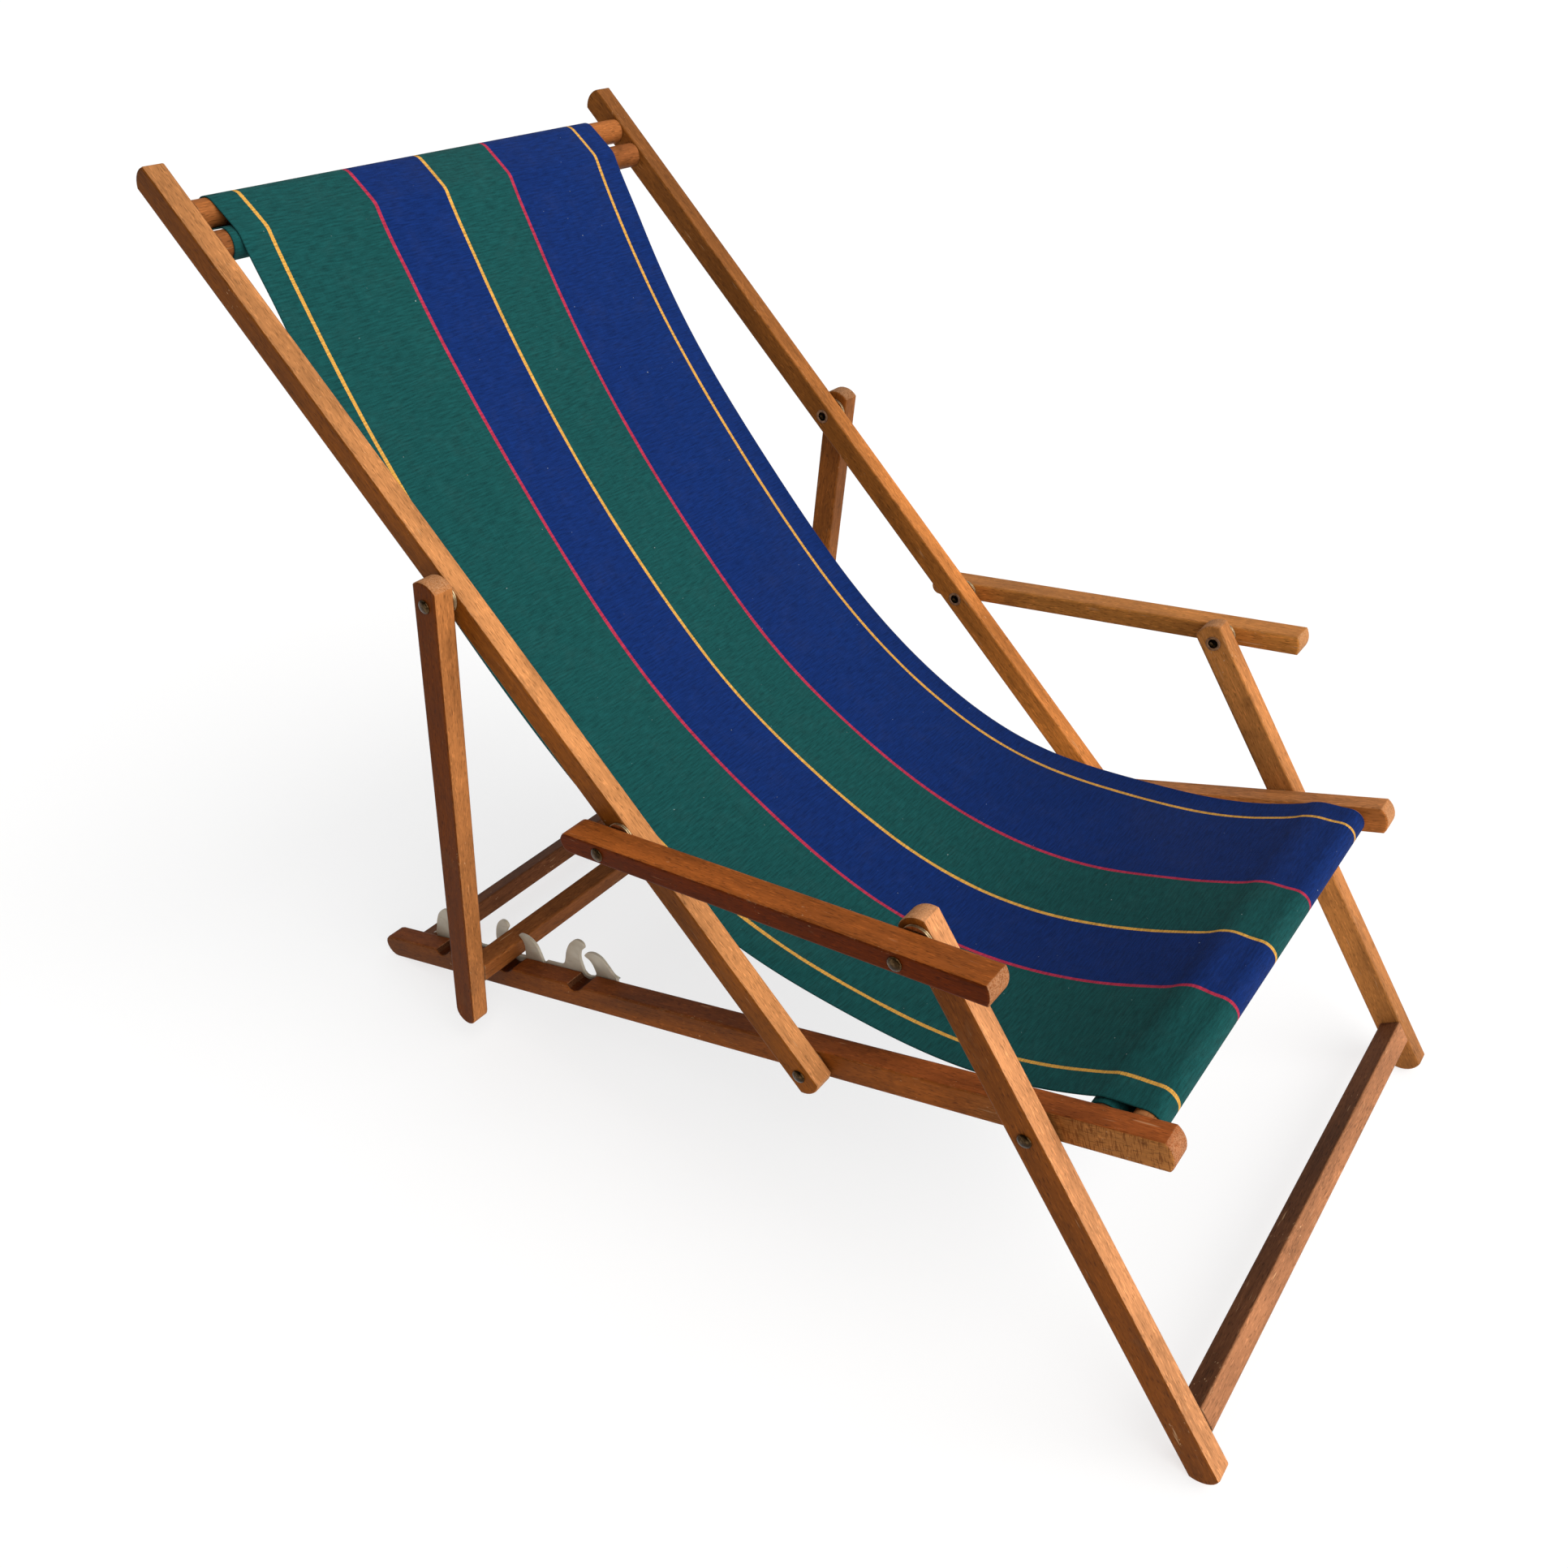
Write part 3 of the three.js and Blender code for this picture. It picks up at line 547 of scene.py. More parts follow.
# Canvas stripes, in millimetres from the near edge
GREEN = (0.0052, 0.0545, 0.0530)
BLUE = (0.0030, 0.0175, 0.1000)
YELLOW = (0.52, 0.270, 0.050)
RED = (0.33, 0.022, 0.052)
CLOTH_WIDTH = 443.0
LINE_WIDTH = 3.5
BEYOND_EDGE = 9.0
BLUE_BANDS = ((138.0, 218.0), (298.0, CLOTH_WIDTH + BEYOND_EDGE))
YELLOW_LINES = (27.0, 218.0, 416.0)
RED_LINES = (138.0, 298.0)
YARN_PITCH = 0.62

# Marks on the cloth
DUST = (0.55, 0.52, 0.45)
LINT = (0.45, 0.52, 0.50)
WATER_STAIN = (0.03, 0.028, 0.025)


def canvas_cloth():
    net = Net("canvas_stripes")
    uv = net.node("ShaderNodeUVMap", uv_map="cloth").outputs[0]
    across, along, _ = net.split(uv)
    # Yarns stray a little, so the stripes' edges aren't ruled lines
    stray = net.streaks(uv, (0.9, 0.02, 1))
    fuzz = net.streaks(uv, (0.5, 1.6, 1), 1.0)
    place = net.math("MULTIPLY_ADD", net.math("SUBTRACT", stray, 0.5), 0.9, across)
    place = net.math("MULTIPLY_ADD", net.math("SUBTRACT", fuzz, 0.5), 0.8, place)

    def within(centre, half):
        return net.math("LESS_THAN", net.math("ABSOLUTE", net.math("SUBTRACT", place, centre)), half)

    colour = GREEN
    for low, high in BLUE_BANDS:
        colour = net.mix(within((low + high) / 2, (high - low) / 2), colour, BLUE)
    for centres, line_colour in ((YELLOW_LINES, YELLOW), (RED_LINES, RED)):
        for centre in centres:
            colour = net.mix(within(centre, LINE_WIDTH / 2), colour, line_colour)

    # Streaks of the yarns both ways, and faded patches
    weft = net.streaks(uv, (0.075, 0.62, 1), 3.0, 0.65)
    warp = net.streaks(uv, (1.10, 0.012, 1), 3.0, 0.6)
    heather = net.noise(uv, 1.7, 2.0, 0.6)
    fade = net.noise(uv, 0.009, 3.0, 0.5)
    tone = 1.0
    for layer, depth in ((weft, 0.34), (warp, 0.08), (heather, 0.28), (fade, 0.03)):
        tone = net.math("ADD", tone, net.span(layer, 0.3, 0.7, -depth, depth))
    colour = net.shade(colour, tone)
    dust = net.span(net.noise(uv, 0.035, 5.0, 0.7), 0.50, 0.75, 0.0, 0.006)
    colour = net.mix(dust, colour, DUST)
    lint = net.span(net.streaks(uv, (0.30, 0.42, 1), 1.0, 0.3), 0.815, 0.84, 0.0, 0.45)
    colour = net.mix(lint, colour, LINT)
    tint = net.span(net.streaks(uv, (0.006, 0.004, 1), 3.0, location=(7, 3, 0)), 0.60, 0.74, 0.0, 0.10)
    colour = net.mix(tint, colour, WATER_STAIN)

    # Plain weave, a little coarser along the cloth than across
    over = net.math("SINE", net.times(across, 2 * math.pi / YARN_PITCH))
    under = net.math("SINE", net.times(along, 2 * math.pi / (YARN_PITCH * 1.25)))
    height = net.math("MULTIPLY_ADD", net.times(over, under), 0.5, net.times(weft, 1.4))
    height = net.math("ADD", height, net.times(heather, 0.8))
    bump = net.bump(height, 0.55, 0.00016)
    rough = net.span(heather, 0.3, 0.7, 0.84, 0.95)
    return net.finish(colour, rough, bump, Sheen_Weight=0.02, Sheen_Roughness=0.5, Specular_IOR_Level=0.06)


# Mesh helpers
def smooth_faces(mesh, sharp_angle=None):
    for face in mesh.polygons:
        face.use_smooth = True
    if sharp_angle:
        mesh.set_sharp_from_angle(angle=math.radians(sharp_angle))


def new_object(name, bm, material, matrix, sharp_angle=35):
    mesh = bpy.data.meshes.new(name)
    bmesh.ops.recalc_face_normals(bm, faces=bm.faces)
    bm.to_mesh(mesh)
    bm.free()
    smooth_faces(mesh, sharp_angle)
    mesh.materials.append(material)
    piece = bpy.data.objects.new(name, mesh)
    piece.matrix_world = matrix
    bpy.context.scene.collection.objects.link(piece)
    return piece


def lathe(profile, sides):
    """A closed body turned about the y axis from pairs of radius and place, in millimetres."""
    bm = bmesh.new()
    rings = []
    for radius, place in profile:
        turns = [2 * math.pi * step / sides for step in range(sides if radius else 1)]
        rings.append([bm.verts.new((radius * math.cos(turn) * MM, place * MM, radius * math.sin(turn) * MM))
                      for turn in turns])
    for one, two in zip(rings, rings[1:]):
        for step in range(sides):
            after = (step + 1) % sides
            corners = {id(v): v for v in (one[step % len(one)], one[after % len(one)],
                                          two[after % len(two)], two[step % len(two)])}
            if len(corners) > 2:
                bm.faces.new(list(corners.values()))
    if len(rings[0]) > 1:
        bmesh.ops.remove_doubles(bm, verts=bm.verts, dist=1e-7)
    return bm


def dome(radius, height, base, steps):
    """A dome's profile from its rim at base to its crown; a height below zero turns it over."""
    turns = [QUARTER * step / steps for step in range(steps)]
    rim = [(radius * math.cos(turn), base + height * math.sin(turn)) for turn in turns]
    return rim + [(0, base + height)]


def arc(centre, radius, start, steps=6):
    """Points of a quarter turn."""
    return [polar(centre, radius, start + QUARTER * step / steps) for step in range(steps + 1)]


def modified(piece, kind, **settings):
    modifier = piece.modifiers.new(kind.lower(), kind)
    for key, value in settings.items():
        setattr(modifier, key, value)


def apply_all(piece):
    bpy.context.view_layer.update()
    graph = bpy.context.evaluated_depsgraph_get()
    mesh = bpy.data.meshes.new_from_object(piece.evaluated_get(graph))
    piece.modifiers.clear()
    old = piece.data
    piece.data = mesh
    bpy.data.meshes.remove(old)


def cut_block(piece, size, place, turn, material):
    """Cuts a block out of a piece, with its size and place in millimetres along the piece's axes."""
    block = bmesh.new()
    bmesh.ops.create_cube(block, size=1.0)
    shape = Matrix.Diagonal((*(side * MM for side in size), 1))
    block.transform(Matrix.Translation(Vector(place) * MM) @ Matrix.Rotation(turn, 4, "Y") @ shape)
    tool = new_object("cutter", block, material, piece.matrix_world)
    modified(piece, "BOOLEAN", operation="DIFFERENCE", object=tool, solver="EXACT")
    apply_all(piece)
    bpy.data.objects.remove(tool)


# Carried-over wood: each CAD bar's frame, its tone and how it is worn. The colour for a bar's wide faces is
# painted light and shade, darkest on the near (right) bars
BARS = {
    "seat_rail_left": dict(
        bar="seat", tone=(0.40, 0.155, 0.050), blotch=0.4, tint=(0.84, 0.70, 0.50), hollows=NOTCHES,
        fade=(-200, 250, 1.0, 1.5)),
    # The near seat rail's dark tone, and its fade darker towards the rear, are painted shade where the
    # armrest and the back's canvas shade the rail
    "seat_rail_right": dict(
        bar="seat", tone=(0.255, 0.065, 0.014), blotch=0.45, tint=(0.88, 0.94, 0.62), hollows=NOTCHES,
        fade=(-500, 320, 0.70, 1.30), tip=(140, 235, (1.22, 1.84, 2.15))),
    "back_rail_left": dict(
        bar="back", tone=(0.47, 0.168, 0.043), tint=(1.0, 0.92, 0.62), fade=(60, 860, 1.30, 0.42)),
    "back_rail_right": dict(
        bar="back", tone=(0.48, 0.200, 0.068), wear=0.5, tint=(0.42, 0.29, 0.09),
        fade=(60, 860, 1.14, 0.86)),
    "front_leg_left": dict(
        bar="leg", tone=(0.48, 0.190, 0.060), wear=0.55, scuffs=0.6, tint=(1.2, 1.15, 0.90),
        fade=(60, 300, 1.0, 0.75)),
    "front_leg_right": dict(
        bar="leg", tone=(0.61, 0.262, 0.104), wear=0.6, scuffs=0.7, tint=(0.34, 0.22, 0.065)),
    "prop_leg_left": dict(
        bar="prop", tone=(0.225, 0.078, 0.021), blotch=0.4, tint=(1.15, 1.0, 0.60)),
    "prop_leg_right": dict(
        bar="prop", tone=(0.38, 0.140, 0.040), blotch=0.3, tint=(0.31, 0.19, 0.05)),
    "armrest_left": dict(
        bar="arm", tone=(0.47, 0.183, 0.048), blotch=0.3, tint=(1.25, 1.2, 0.95)),
    "armrest_right": dict(
        bar="arm", tone=(0.30, 0.080, 0.014), blotch=0.3, scuffs=0.3, tint=(0.34, 0.20, 0.02)),
}

# Dowels, each with its bar, its place along it and off it, the rails' inner face, its body and its tone. The
# inner front dowel and the lower top dowel have darker tones as painted shade
DOWELS = {
    "front_dowel_outer": ("seat", FRONT_DOWEL_AT, SEAT_MID, SEAT_IN, "seat_frame", (0.40, 0.155, 0.052)),
    "front_dowel_inner": ("seat", FRONT_DOWEL_AT - DOWEL_PITCH, SEAT_MID, SEAT_IN, "seat_frame", SHADED_WOOD),
    "top_dowel_upper": ("back", TOP_DOWEL_AT, 0, FRAME_IN, "back_frame", (0.29, 0.096, 0.025)),
    "top_dowel_lower": ("back", TOP_DOWEL_AT - DOWEL_PITCH, 0, FRAME_IN, "back_frame", (0.20, 0.065, 0.018)),
}

# Cross pieces that keep their CAD shape. The rear rail takes the wood with painted shade, and the leg
# crossbar has painted shade on the faces that look one way
CROSS_BARS = {
    "rear_cross_rail": dict(tone=SHADED_WOOD, wear=0.5),
    "leg_crossbar": dict(
        tone=(0.36, 0.150, 0.066), wear=0.7, scuffs=0.9, shaded_side=(math.radians(125), (0.42, 0.38, 0.36))),
    "prop_crossbar": dict(tone=(0.23, 0.073, 0.018), wear=0.5),
}
BARS_SEED, DOWELS_SEED, CROSS_BARS_SEED = 11, 31, 35
DOWEL_SIDES = 48


def dress(looks, first_seed, ending=""):
    """Gives each CAD node that looks names its own wood."""
    for seed, (node, look) in enumerate(looks.items(), start=first_seed):
        data = frame["nodes"][node].data
        data.materials.clear()
        data.materials.append(wood(node + ending, seed=seed, **look))


def dowels():
    for seed, (name, (bar, at, lift, inner, body, tone)) in enumerate(DOWELS.items(), start=DOWELS_SEED):
        material = wood(name + "_wood", tone, seed, wear=0.3)
        half = inner - FIT
        end = inner + TENON_LENGTH
        profile = [(0, -end), (TENON_RADIUS, -end), (TENON_RADIUS, -half),
                   (DOWEL_RADIUS - DOWEL_EASE, -half), (DOWEL_RADIUS, DOWEL_EASE - half)]
        profile += [(radius, -place) for radius, place in reversed(profile)]
        matrix = bar_matrix(bar, at, 0, lift)
        piece = new_object(name + "_turned", lathe(profile, DOWEL_SIDES), material, matrix)
        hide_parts(name)
        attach(piece, body)


# Hung canvas. It leaves and reaches the windings at these angles, and its sag is steered at these shares
# of the chord. The windings leave room for the CAD's cloth
CLOTH_THICKNESS = 1.1
CAD_CLOTH = 1.4
NEAR_WRAP = DOWEL_RADIUS + FIT + CAD_CLOTH / 2
FAR_WRAP = NEAR_WRAP + FIT + CAD_CLOTH
LEAVE_TOP = math.radians(-84.6)
REACH_FRONT = math.radians(13.2)
SAG_TOP, SAG_FRONT = 0.365, 0.397
SAG_STEPS = 240
WRAP_STEPS = 20

# The mesh's rows are closer in the windings than in the sag, and its columns at the edges
WRAP_ROW = 2.2
SAG_ROW = 5.0
EDGE_COLUMNS = np.array([0.0, 1.2, 3.5, 7.0])
INNER_EDGE = 12.0
INNER_COLUMNS = 44

# The cloth was sat on, so it swells and dips a little off the plain sag. Each swell has its share of the
# way down, its place across, its spread both ways and its height; the lift is everywhere
SWELLS = (
    (0.25, 130, 0.17, 60, 8.5),
    (0.60, 100, 0.10, 80, 5.0),
    (0.78, 0, 0.11, 85, 11.0),
    (0.42, 0, 0.16, 60, 3.0),
    (0.32, 430, 0.17, 85, 9.0),
    (0.49, 258, 0.09, 65, -5.5),
    (0.77, 190, 0.10, 65, -4.5),
    (0.84, 430, 0.10, 90, 11.5),
    (0.92, 290, 0.06, 60, 4.5),
)
SWELL_LIFT = 1.3

# Lengths along the cloth over which its swells and its ripples fade at the windings, how far the swells
# go on past the sag, where it bulges past the sag, and how far in from an edge it curls
SWELL_FADES = 70.0, 60.0
RIPPLE_FADE = 60.0
SWELL_BEYOND = 26.0
BULGE_BEYOND = 13.0
CURL_REACH = 9.0

# Its middle line lies this far off the chair's, at two places along x in the side view, and the tails
# lie this much further off
TOP_CENTRE, FRONT_CENTRE = -12.5, 1.5
CENTRE_FROM, CENTRE_TO = -422.0, 279.0
TOP_TAIL_SKEW, FRONT_TAIL_SKEW = 8.0, 4.0


def run_heading(one, two):
    """The way that a belt runs between two rounds, each of centre, radius and turning sense."""
    (centre_a, radius_a, sense_a), (centre_b, radius_b, sense_b) = one, two
    lean = math.asin((sense_b * radius_b - sense_a * radius_a) / math.dist(centre_a, centre_b))
    return bearing(centre_a, centre_b) - lean


def wind(rounds, first, last):
    """Points of a belt that runs over rounds, from its first heading to its last."""
    points = []
    for index, (centre, radius, sense) in enumerate(rounds):
        arrive = run_heading(rounds[index - 1], rounds[index]) if index else first
        leave = run_heading(rounds[index], rounds[index + 1]) if index < len(rounds) - 1 else last
        begin = arrive - sense * QUARTER
        turn = sense * ((sense * (leave - arrive)) % (2 * math.pi))
        points += [polar(centre, radius, begin + turn * step / WRAP_STEPS)
                   for step in range(WRAP_STEPS + 1)]
    return points


def cloth_path():
    """The cloth's middle line in the side view, and how many of its points are in each winding."""
    upper = polar(BACK_HINGE, TOP_DOWEL_AT, BACK_ANGLE)
    lower = polar(BACK_HINGE, TOP_DOWEL_AT - DOWEL_PITCH, BACK_ANGLE)
    outer, inner = (FRONT_DOWEL_AT, SEAT_MID), (FRONT_DOWEL_AT - DOWEL_PITCH, SEAT_MID)
    top = wind([(lower, NEAR_WRAP, 1), (upper, NEAR_WRAP, -1), (lower, FAR_WRAP, -1)],
               BACK_ANGLE + math.pi, LEAVE_TOP)
    front = wind([(inner, FAR_WRAP, -1), (outer, NEAR_WRAP, -1), (inner, NEAR_WRAP, 1)],
                 REACH_FRONT, -QUARTER)
    start, end = np.array(top[-1]), np.array(front[0])
    chord = math.dist(start, end)
    steer_top = np.array(polar(start, chord * SAG_TOP, LEAVE_TOP))
    steer_front = np.array(polar(end, -chord * SAG_FRONT, REACH_FRONT))
    t = np.linspace(0, 1, SAG_STEPS)[1:-1, None]
    sag = ((1 - t) ** 3 * start + 3 * (1 - t) ** 2 * t * steer_top
           + 3 * (1 - t) * t ** 2 * steer_front + t ** 3 * end)
    return np.vstack([top, sag, front]), len(top), len(front)


def smooth_step(value):
    value = np.clip(value, 0, 1)
    return value * value * (3 - 2 * value)


def hump(values, centre, spread):
    return np.exp(-((values - centre) / spread) ** 2)


def cloth_offsets(rows, columns, free_from, free_to):
    """How far the cloth stands off its path, and how far it is pulled across, at each row and column."""
    share = np.clip((rows - free_from) / (free_to - free_from), 0, 1)
    lift = np.full((len(rows), len(columns)), SWELL_LIFT)
    for down, over, down_spread, over_spread, height in SWELLS:
        lift += height * np.outer(hump(share, down, down_spread), hump(columns, over, over_spread))
    starting = smooth_step((rows - free_from) / SWELL_FADES[0])
    lift *= (starting * smooth_step((free_to + SWELL_BEYOND - rows) / SWELL_FADES[1]))[:, None]
    # It bulges between the two front dowels too, least at its near edge
    bulge = 2.5 + 2.5 * hump(columns, 165, 60) - 2.0 * hump(columns, 0, 45)
    lift += np.outer(hump(rows, free_to + BULGE_BEYOND, BULGE_BEYOND), bulge)

    # Curled edges, ripples and yarns pulled askew where it hangs free
    phases = np.random.default_rng(4).uniform(0, 2 * math.pi, 6)
    along, over = rows[:, None], columns[None, :]
    free = smooth_step((along - free_from) / RIPPLE_FADE) * smooth_step((free_to - along) / RIPPLE_FADE)
    edge = np.minimum(over, CLOTH_WIDTH - over)
    curl = np.exp(-edge / CURL_REACH) * (1.0 + 1.2 * np.sin(along / 74 + phases[0]))
    ripple = 0.55 * np.sin(over / 61 + phases[1] + along / 240) * np.sin(along / 118 + phases[2])
    ripple = ripple + 0.22 * np.sin(over / 23 + phases[3]) * np.sin(along / 47 + phases[4])
    pull = 1.1 * np.sin(along / 160 + phases[5]) * free * (1 - 2 * over / CLOTH_WIDTH)
    return lift + free * (curl + ripple), pull


def canvas(material):
    """One cloth from its tail under the top dowels to its tail under the front ones."""
    points, top_count, front_count = cloth_path()
    lengths = np.concatenate([[0], np.cumsum(np.linalg.norm(np.diff(points, axis=0), axis=1))])
    total = lengths[-1]
    free_from, free_to = lengths[top_count - 1], lengths[-front_count]
    rows = np.unique(np.concatenate([
        np.arange(0, free_from, WRAP_ROW), np.arange(free_from, free_to, SAG_ROW),
        np.arange(free_to, total, WRAP_ROW), [total]]))
    columns = np.concatenate([
        EDGE_COLUMNS, np.linspace(INNER_EDGE, CLOTH_WIDTH - INNER_EDGE, INNER_COLUMNS),
        CLOTH_WIDTH - EDGE_COLUMNS[::-1]])
    path = np.stack([np.interp(rows, lengths, points[:, axis]) for axis in (0, 1)], axis=1)
    ahead = np.gradient(path, rows, axis=0)
    ahead /= np.linalg.norm(ahead, axis=1, keepdims=True)

    out, pull = cloth_offsets(rows, columns, free_from, free_to)
    centre = np.interp(path[:, 0], [CENTRE_FROM, CENTRE_TO], [TOP_CENTRE, FRONT_CENTRE])
    # The tail inside each roll is folded a little askew and shows beyond the near edge
    centre -= TOP_TAIL_SKEW * smooth_step(1 - rows / free_from)
    centre -= FRONT_TAIL_SKEW * smooth_step((rows - free_to) / (total - free_to))
    across = columns[None, :] - CLOTH_WIDTH / 2 + centre[:, None] - pull
    x = path[:, :1] - ahead[:, 1:] * out
    z = path[:, 1:] + ahead[:, :1] * out
    verts = [side_to_frame(*place) for place in zip(x.flat, across.flat, z.flat)]
    uvs = [(column, row) for row in rows for column in columns]

    width = len(columns)
    faces = [(r * width + c, r * width + c + 1, (r + 1) * width + c + 1, (r + 1) * width + c)
             for r in range(len(rows) - 1) for c in range(width - 1)]
    mesh = bpy.data.meshes.new("hung_canvas")
    mesh.from_pydata(verts, [], faces)
    layer = mesh.uv_layers.new(name="cloth")
    for loop in mesh.loops:
        layer.data[loop.index].uv = uvs[loop.vertex_index]
    smooth_faces(mesh)
    mesh.materials.append(material)
    piece = bpy.data.objects.new("hung_canvas", mesh)
    bpy.context.scene.collection.objects.link(piece)
    modified(piece, "SOLIDIFY", thickness=CLOTH_THICKNESS * MM, offset=0.0)
    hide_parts("canvas_back", "canvas_seat")
    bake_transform(piece)


# Notched racks. A horn's outline is across as a share of its width from the pocket's wall, and up as a
# share of its height. A free pocket's floor is across in millimetres, and down as a share of its depth
RACK_THICKNESS = 2.7
RACK_SKIRT = 14.0
RACK_CREST = 2.5
RACK_OVERHANG = 38.0
RACK_CORNER = 8.0
RACK_EASE = 0.7
POCKET_FLOOR = RAIL_TOP + 0.2
POCKET_HALF = 9.0
POCKET_DIP = 4.6
POCKET = ((9.0, 0.0), (6.5, 0.45), (2.0, 0.85), (-2.5, 1.0), (-6.5, 0.75), (-9.0, 0.0))
HORN_WIDTH, HORN_HEIGHT = 36.0, 38.0
HORN_FOOT = 0.05
REAR_HORN = ((-0.98, 0.03), (-0.80, 0.10), (-0.66, 0.26), (-0.46, 0.56), (-0.18, 0.84), (0.14, 0.99),
             (0.36, 0.94), (0.37, 0.78), (0.16, 0.64), (0.02, 0.38), (0.0, 0.06))
FRONT_HORN = ((0.92, 0.03), (0.74, 0.12), (0.62, 0.33), (0.45, 0.58), (0.2, 0.68), (-0.08, 0.64),
              (-0.22, 0.53), (-0.08, 0.43), (0.0, 0.28), (0.02, 0.06))
REAR_FOOT, FRONT_FOOT = -0.75, 0.7
REAR_SPREAD, FRONT_SPREAD = math.radians(12), math.radians(-24)
BAR_ROOM = (22.8, 12.0, 20.8)
SCREW_DROP = 7.0
SCREW_LENGTH = 8.0
SCREW_RADIUS = 1.5
SCREW_HEAD = 3.1
SCREW_CROSS = (3.6, 2.4, 0.75)
SCREW_TURN = 0.5
SCREW_SIDES = 28


def through(points, steps=6):
    """A smooth line through points, as a Catmull-Rom curve."""
    padded = [points[0], *points, points[-1]]
    out = []
    for before, first, second, after in zip(padded, padded[1:], padded[2:], padded[3:]):
        for step in range(steps):
            t = step / steps
            out.append(tuple(
                0.5 * (2 * b + (c - a) * t + (2 * a - 5 * b + 4 * c - d) * t * t
                       + (3 * b - a - 3 * c + d) * t ** 3)
                for a, b, c, d in zip(before, first, second, after)))
    return out + [points[-1]]


def horn(shares, wall, turn, foot_share):
    """A horn's side view, turned about its foot."""
    foot = (wall + foot_share * HORN_WIDTH / 2, POCKET_FLOOR)
    points = []
    for across, up in shares:
        place = (wall + across * HORN_WIDTH, POCKET_FLOOR + up * HORN_HEIGHT)
        if up > HORN_FOOT:
            place = polar(foot, math.dist(foot, place), bearing(foot, place) + turn)
        points.append(place)
    return through(points)


def rack_outline():
    """The rack's side view from its front end along the top to the rear, and back below.
    The crossbar spreads the horns of the notch that it rests in."""
    low, high = RAIL_TOP - RACK_SKIRT, RAIL_TOP + RACK_CREST
    front, rear = NOTCHES[0] + RACK_OVERHANG, NOTCHES[-1] - RACK_OVERHANG
    points = [(front, high)]
    for index, place in enumerate(NOTCHES):
        in_use = index == NOTCH_IN_USE
        ahead = horn(FRONT_HORN, place + POCKET_HALF, FRONT_SPREAD if in_use else 0, FRONT_FOOT)
        behind = horn(REAR_HORN, place - POCKET_HALF, REAR_SPREAD if in_use else 0, REAR_FOOT)
        dip = 0.0 if in_use else POCKET_DIP
        floor = [(place + across, POCKET_FLOOR - dip * down) for across, down in POCKET]
        points += ahead + floor + behind[::-1]
    points.append((rear, high))
    points += arc((rear + RACK_CORNER, low + RACK_CORNER), RACK_CORNER, math.pi)
    points += arc((front - RACK_CORNER, low + RACK_CORNER), RACK_CORNER, -QUARTER)
    return points


def plate(points, depth):
    bm = bmesh.new()
    sides = [[bm.verts.new((x * MM, y * MM, z * MM)) for x, z in points] for y in (-depth / 2, depth / 2)]
    bm.faces.new(sides[0])
    bm.faces.new(sides[1][::-1])
    for i in range(len(points)):
        j = (i + 1) % len(points)
        bm.faces.new((sides[0][i], sides[0][j], sides[1][j], sides[1][i]))
    return bm


def racks(material):
    for side, sign in SIDES:
        matrix = bar_matrix("seat", 0, sign * (SEAT_IN - FIT - RACK_THICKNESS / 2), 0)
        piece = new_object(f"rack_moulding_{side}", plate(rack_outline(), RACK_THICKNESS), material, matrix)
        cut_block(piece, BAR_ROOM, (PROP_BAR[0], 0, PROP_BAR[1]), -PROP_ANGLE, material)
        modified(piece, "BEVEL", width=RACK_EASE * MM, segments=3, limit_method="ANGLE",
                 angle_limit=math.radians(50))
        apply_all(piece)
        smooth_faces(piece.data, 60)
        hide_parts(f"notch_rack_{side}")
        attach(piece, "seat_frame")


def rack_screws(material):
    """Two countersunk cross-head screws hold each rack to its rail."""
    cone = [(0, SCREW_LENGTH), (SCREW_RADIUS, SCREW_LENGTH), (SCREW_RADIUS, 1.6), (SCREW_HEAD, 0.1)]
    profile = cone + dome(SCREW_HEAD, -0.7, 0.0, 4)
    for side, sign in SIDES:
        for index in range(len(NOTCHES) - 1):
            between = (NOTCHES[index] + NOTCHES[index + 1]) / 2
            face = sign * (SEAT_IN - FIT - RACK_THICKNESS)
            matrix = bar_matrix("seat", between, face, RAIL_TOP - SCREW_DROP)
            if sign < 0:
                matrix = matrix @ Matrix.Rotation(math.pi, 4, "Z")
            body = lathe(profile, SCREW_SIDES)
            piece = new_object(f"rack_screw_{side}_{index + 1}", body, material, matrix, 50)
            for turn in (SCREW_TURN, SCREW_TURN + QUARTER):
                cut_block(piece, SCREW_CROSS, (0, -0.9, 0), turn + index, material)
            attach(piece, "seat_frame")


# Rivets and washers
SHANK_RADIUS = 3.5
BORE_DEPTH = 4.0
HEAD_RADIUS = 6.0
HEAD_HEIGHT = 2.15
HEAD_EDGE = 0.35
EYELET_RADIUS = 7.1
EYELET_PROUD = 0.32
EYELET_FROM = 4.4
EYELET_DEPTH = 0.6
HINGE_WASHER = 10.0
WIDE_WASHER = 13.0
WASHER_HOLE = 3.8
WASHER_EASE = 0.2
PIN_SIDES = 32


def rivet_tail(inner):
    """Hollow end of the shank at the bottom of its bore, and an eyelet round the bore's mouth."""
    floor = inner + BORE_DEPTH - FIT
    proud = inner - EYELET_PROUD
    return [(0, floor - 0.9), (2.1, floor - 0.9), (3.0, floor - 1.9), (3.9, floor - 2.2), (4.4, floor - 1.6),
            (4.6, inner - 0.05), (4.9, proud), (EYELET_RADIUS - 0.3, proud), (EYELET_RADIUS, inner - 0.06),
            (5.0, inner - 0.02), (5.0, floor), (SHANK_RADIUS, floor)]


def rivet_head(outer):
    base = outer + FIT
    crown = dome(HEAD_RADIUS, HEAD_HEIGHT, base + HEAD_EDGE, 7)
    return [(SHANK_RADIUS, base), (HEAD_RADIUS - 0.3, base)] + crown


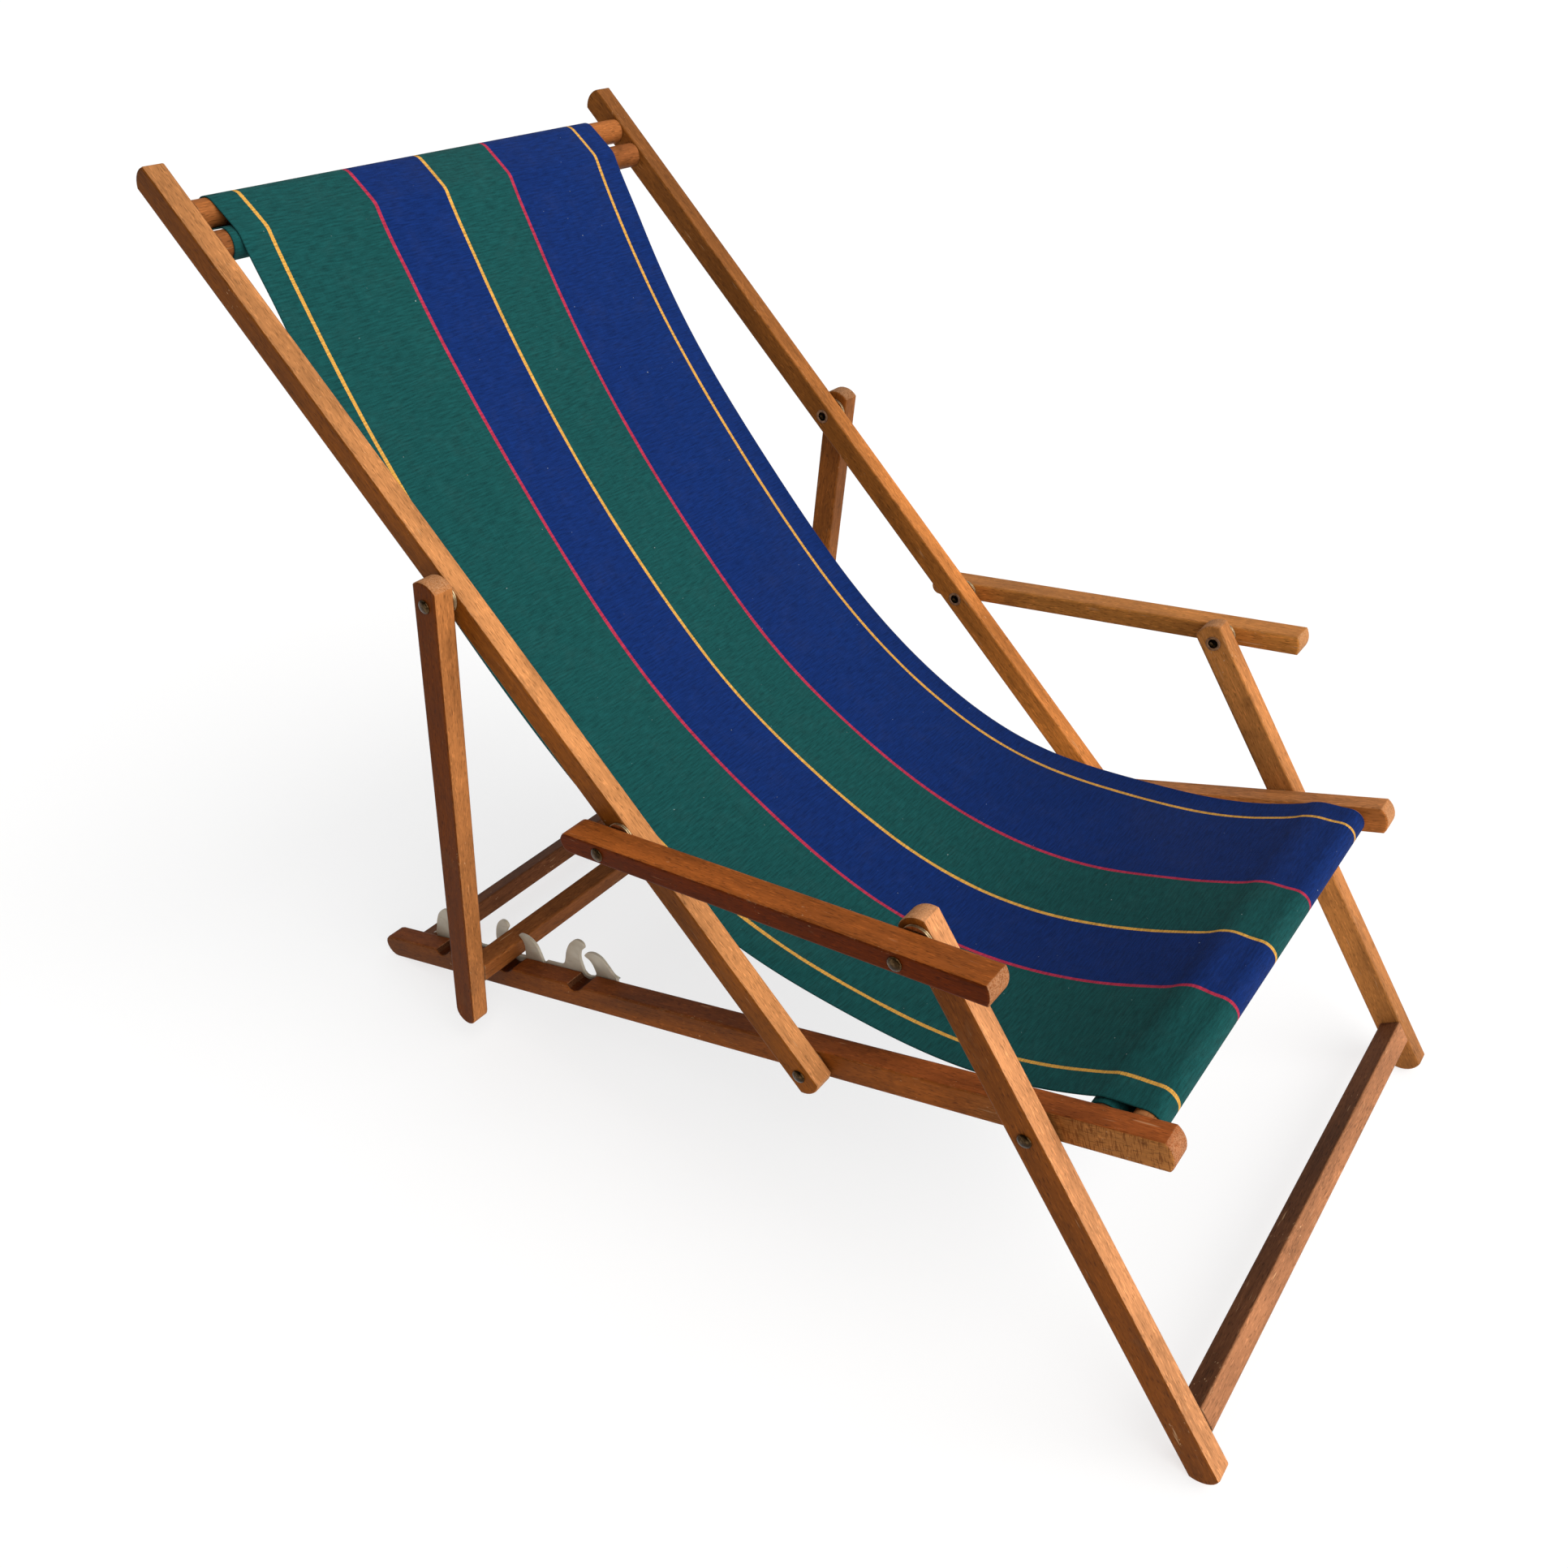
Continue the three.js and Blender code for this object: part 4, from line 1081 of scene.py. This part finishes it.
def washer(radius, start, stop):
    rim = radius - WASHER_EASE
    return [(WASHER_HOLE, start), (rim, start), (radius, start + WASHER_EASE), (radius, stop - WASHER_EASE),
            (rim, stop), (WASHER_HOLE, stop), (WASHER_HOLE, start)]


def layers(count, start, stop):
    """The two faces of each washer, where washers fill a gap side by side."""
    thick = (stop - start - FIT * (count + 1)) / count
    starts = [start + FIT + index * (thick + FIT) for index in range(count)]
    return [(place, place + thick) for place in starts]


def pins(stem, profile, bar, at, body, material, eyelet=None):
    """A turned piece on each side; eyelet is the material of the ring at its inner end."""
    ring_end = min(place for _, place in profile) + EYELET_DEPTH
    for side, sign in SIDES:
        bm = lathe(profile, PIN_SIDES)
        if sign < 0:
            bm.transform(Matrix.Rotation(math.pi, 4, "Z"))
        piece = new_object(f"{stem}_turned_{side}", bm, material, bar_matrix(bar, at), 40)
        if eyelet:
            piece.data.materials.append(eyelet)
            for face in piece.data.polygons:
                out = math.hypot(face.center.x, face.center.z)
                face.material_index = int(out > EYELET_FROM * MM and abs(face.center.y) < ring_end * MM)
        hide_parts(f"{stem}_{side}")
        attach(piece, body.format(side=side))


def hardware(steel, bright, brass):
    (hinge,) = layers(1, SEAT_OUT, FRAME_IN)
    wide_in, wide_out = layers(2, FRAME_OUT, ARM_IN)
    seat_hinges = (("back_hinge", 0), ("leg_hinge", LEG_HINGE_REACH))
    for stem, at in seat_hinges:
        seat_rivet = rivet_tail(SEAT_IN) + rivet_head(FRAME_OUT)
        pins(stem + "_rivet", seat_rivet, "seat", at, "seat_frame", steel, brass)
    for stem, at in seat_hinges:
        pins(stem + "_washer", washer(HINGE_WASHER, *hinge), "seat", at, "seat_frame", bright)
    back_hinges = (("arm_hinge", ARM_HINGE_REACH, ARM_OUT), ("prop_hinge", PROP_HINGE_REACH, PROP_OUT))
    for stem, at, outer in back_hinges:
        back_rivet = rivet_tail(FRAME_IN) + rivet_head(outer)
        pins(stem + "_rivet", back_rivet, "back", at, "back_frame", steel, brass)
        pins(stem + "_washer_inner", washer(WIDE_WASHER, *wide_in), "back", at, "back_frame", bright)
        pins(stem + "_washer_outer", washer(WIDE_WASHER, *wide_out), "back", at, "back_frame", bright)
    # The rivet through leg and armrest is made in two halves that meet between its washers
    meet = wide_in[1]
    tail = rivet_tail(FRAME_IN) + [(SHANK_RADIUS, meet), (0, meet)]
    head = [(0, meet + FIT), (SHANK_RADIUS, meet + FIT)] + rivet_head(ARM_OUT)
    pins("leg_pin_tail", tail, "leg", -LEG_REACH, "leg_frame", steel, brass)
    pins("leg_pin_washer", washer(WIDE_WASHER, *wide_in), "leg", -LEG_REACH, "leg_frame", bright)
    pins("arm_pin_head", head, "arm", ARM_REACH, "armrest_{side}_arm", steel)
    pins("arm_pin_washer", washer(WIDE_WASHER, *wide_out), "arm", ARM_REACH, "armrest_{side}_arm", bright)


def metal_pieces():
    steel = metal("rivet_steel", ((0.012, 0.006, 0.002), (0.044, 0.024, 0.010), (0.14, 0.085, 0.038)),
                  (0.014, 0.007, 0.003), 0.20, 0.32)
    bright = metal("washer_steel", ((0.30, 0.200, 0.105), (0.48, 0.345, 0.190), (0.66, 0.510, 0.310)),
                   (0.12, 0.070, 0.032), 0.28, 0.42)
    brass = metal("eyelet_brass", ((0.13, 0.055, 0.022), (0.27, 0.125, 0.050), (0.42, 0.230, 0.105)),
                  (0.12, 0.050, 0.020), 0.30, 0.45, metallic=0.0)
    hardware(steel, bright, brass)
    rack_screws(bright)


camera()
stage()
dress(BARS, BARS_SEED)
dowels()
dress(CROSS_BARS, CROSS_BARS_SEED, "_wood")
canvas(canvas_cloth())
racks(rack_plastic())
metal_pieces()
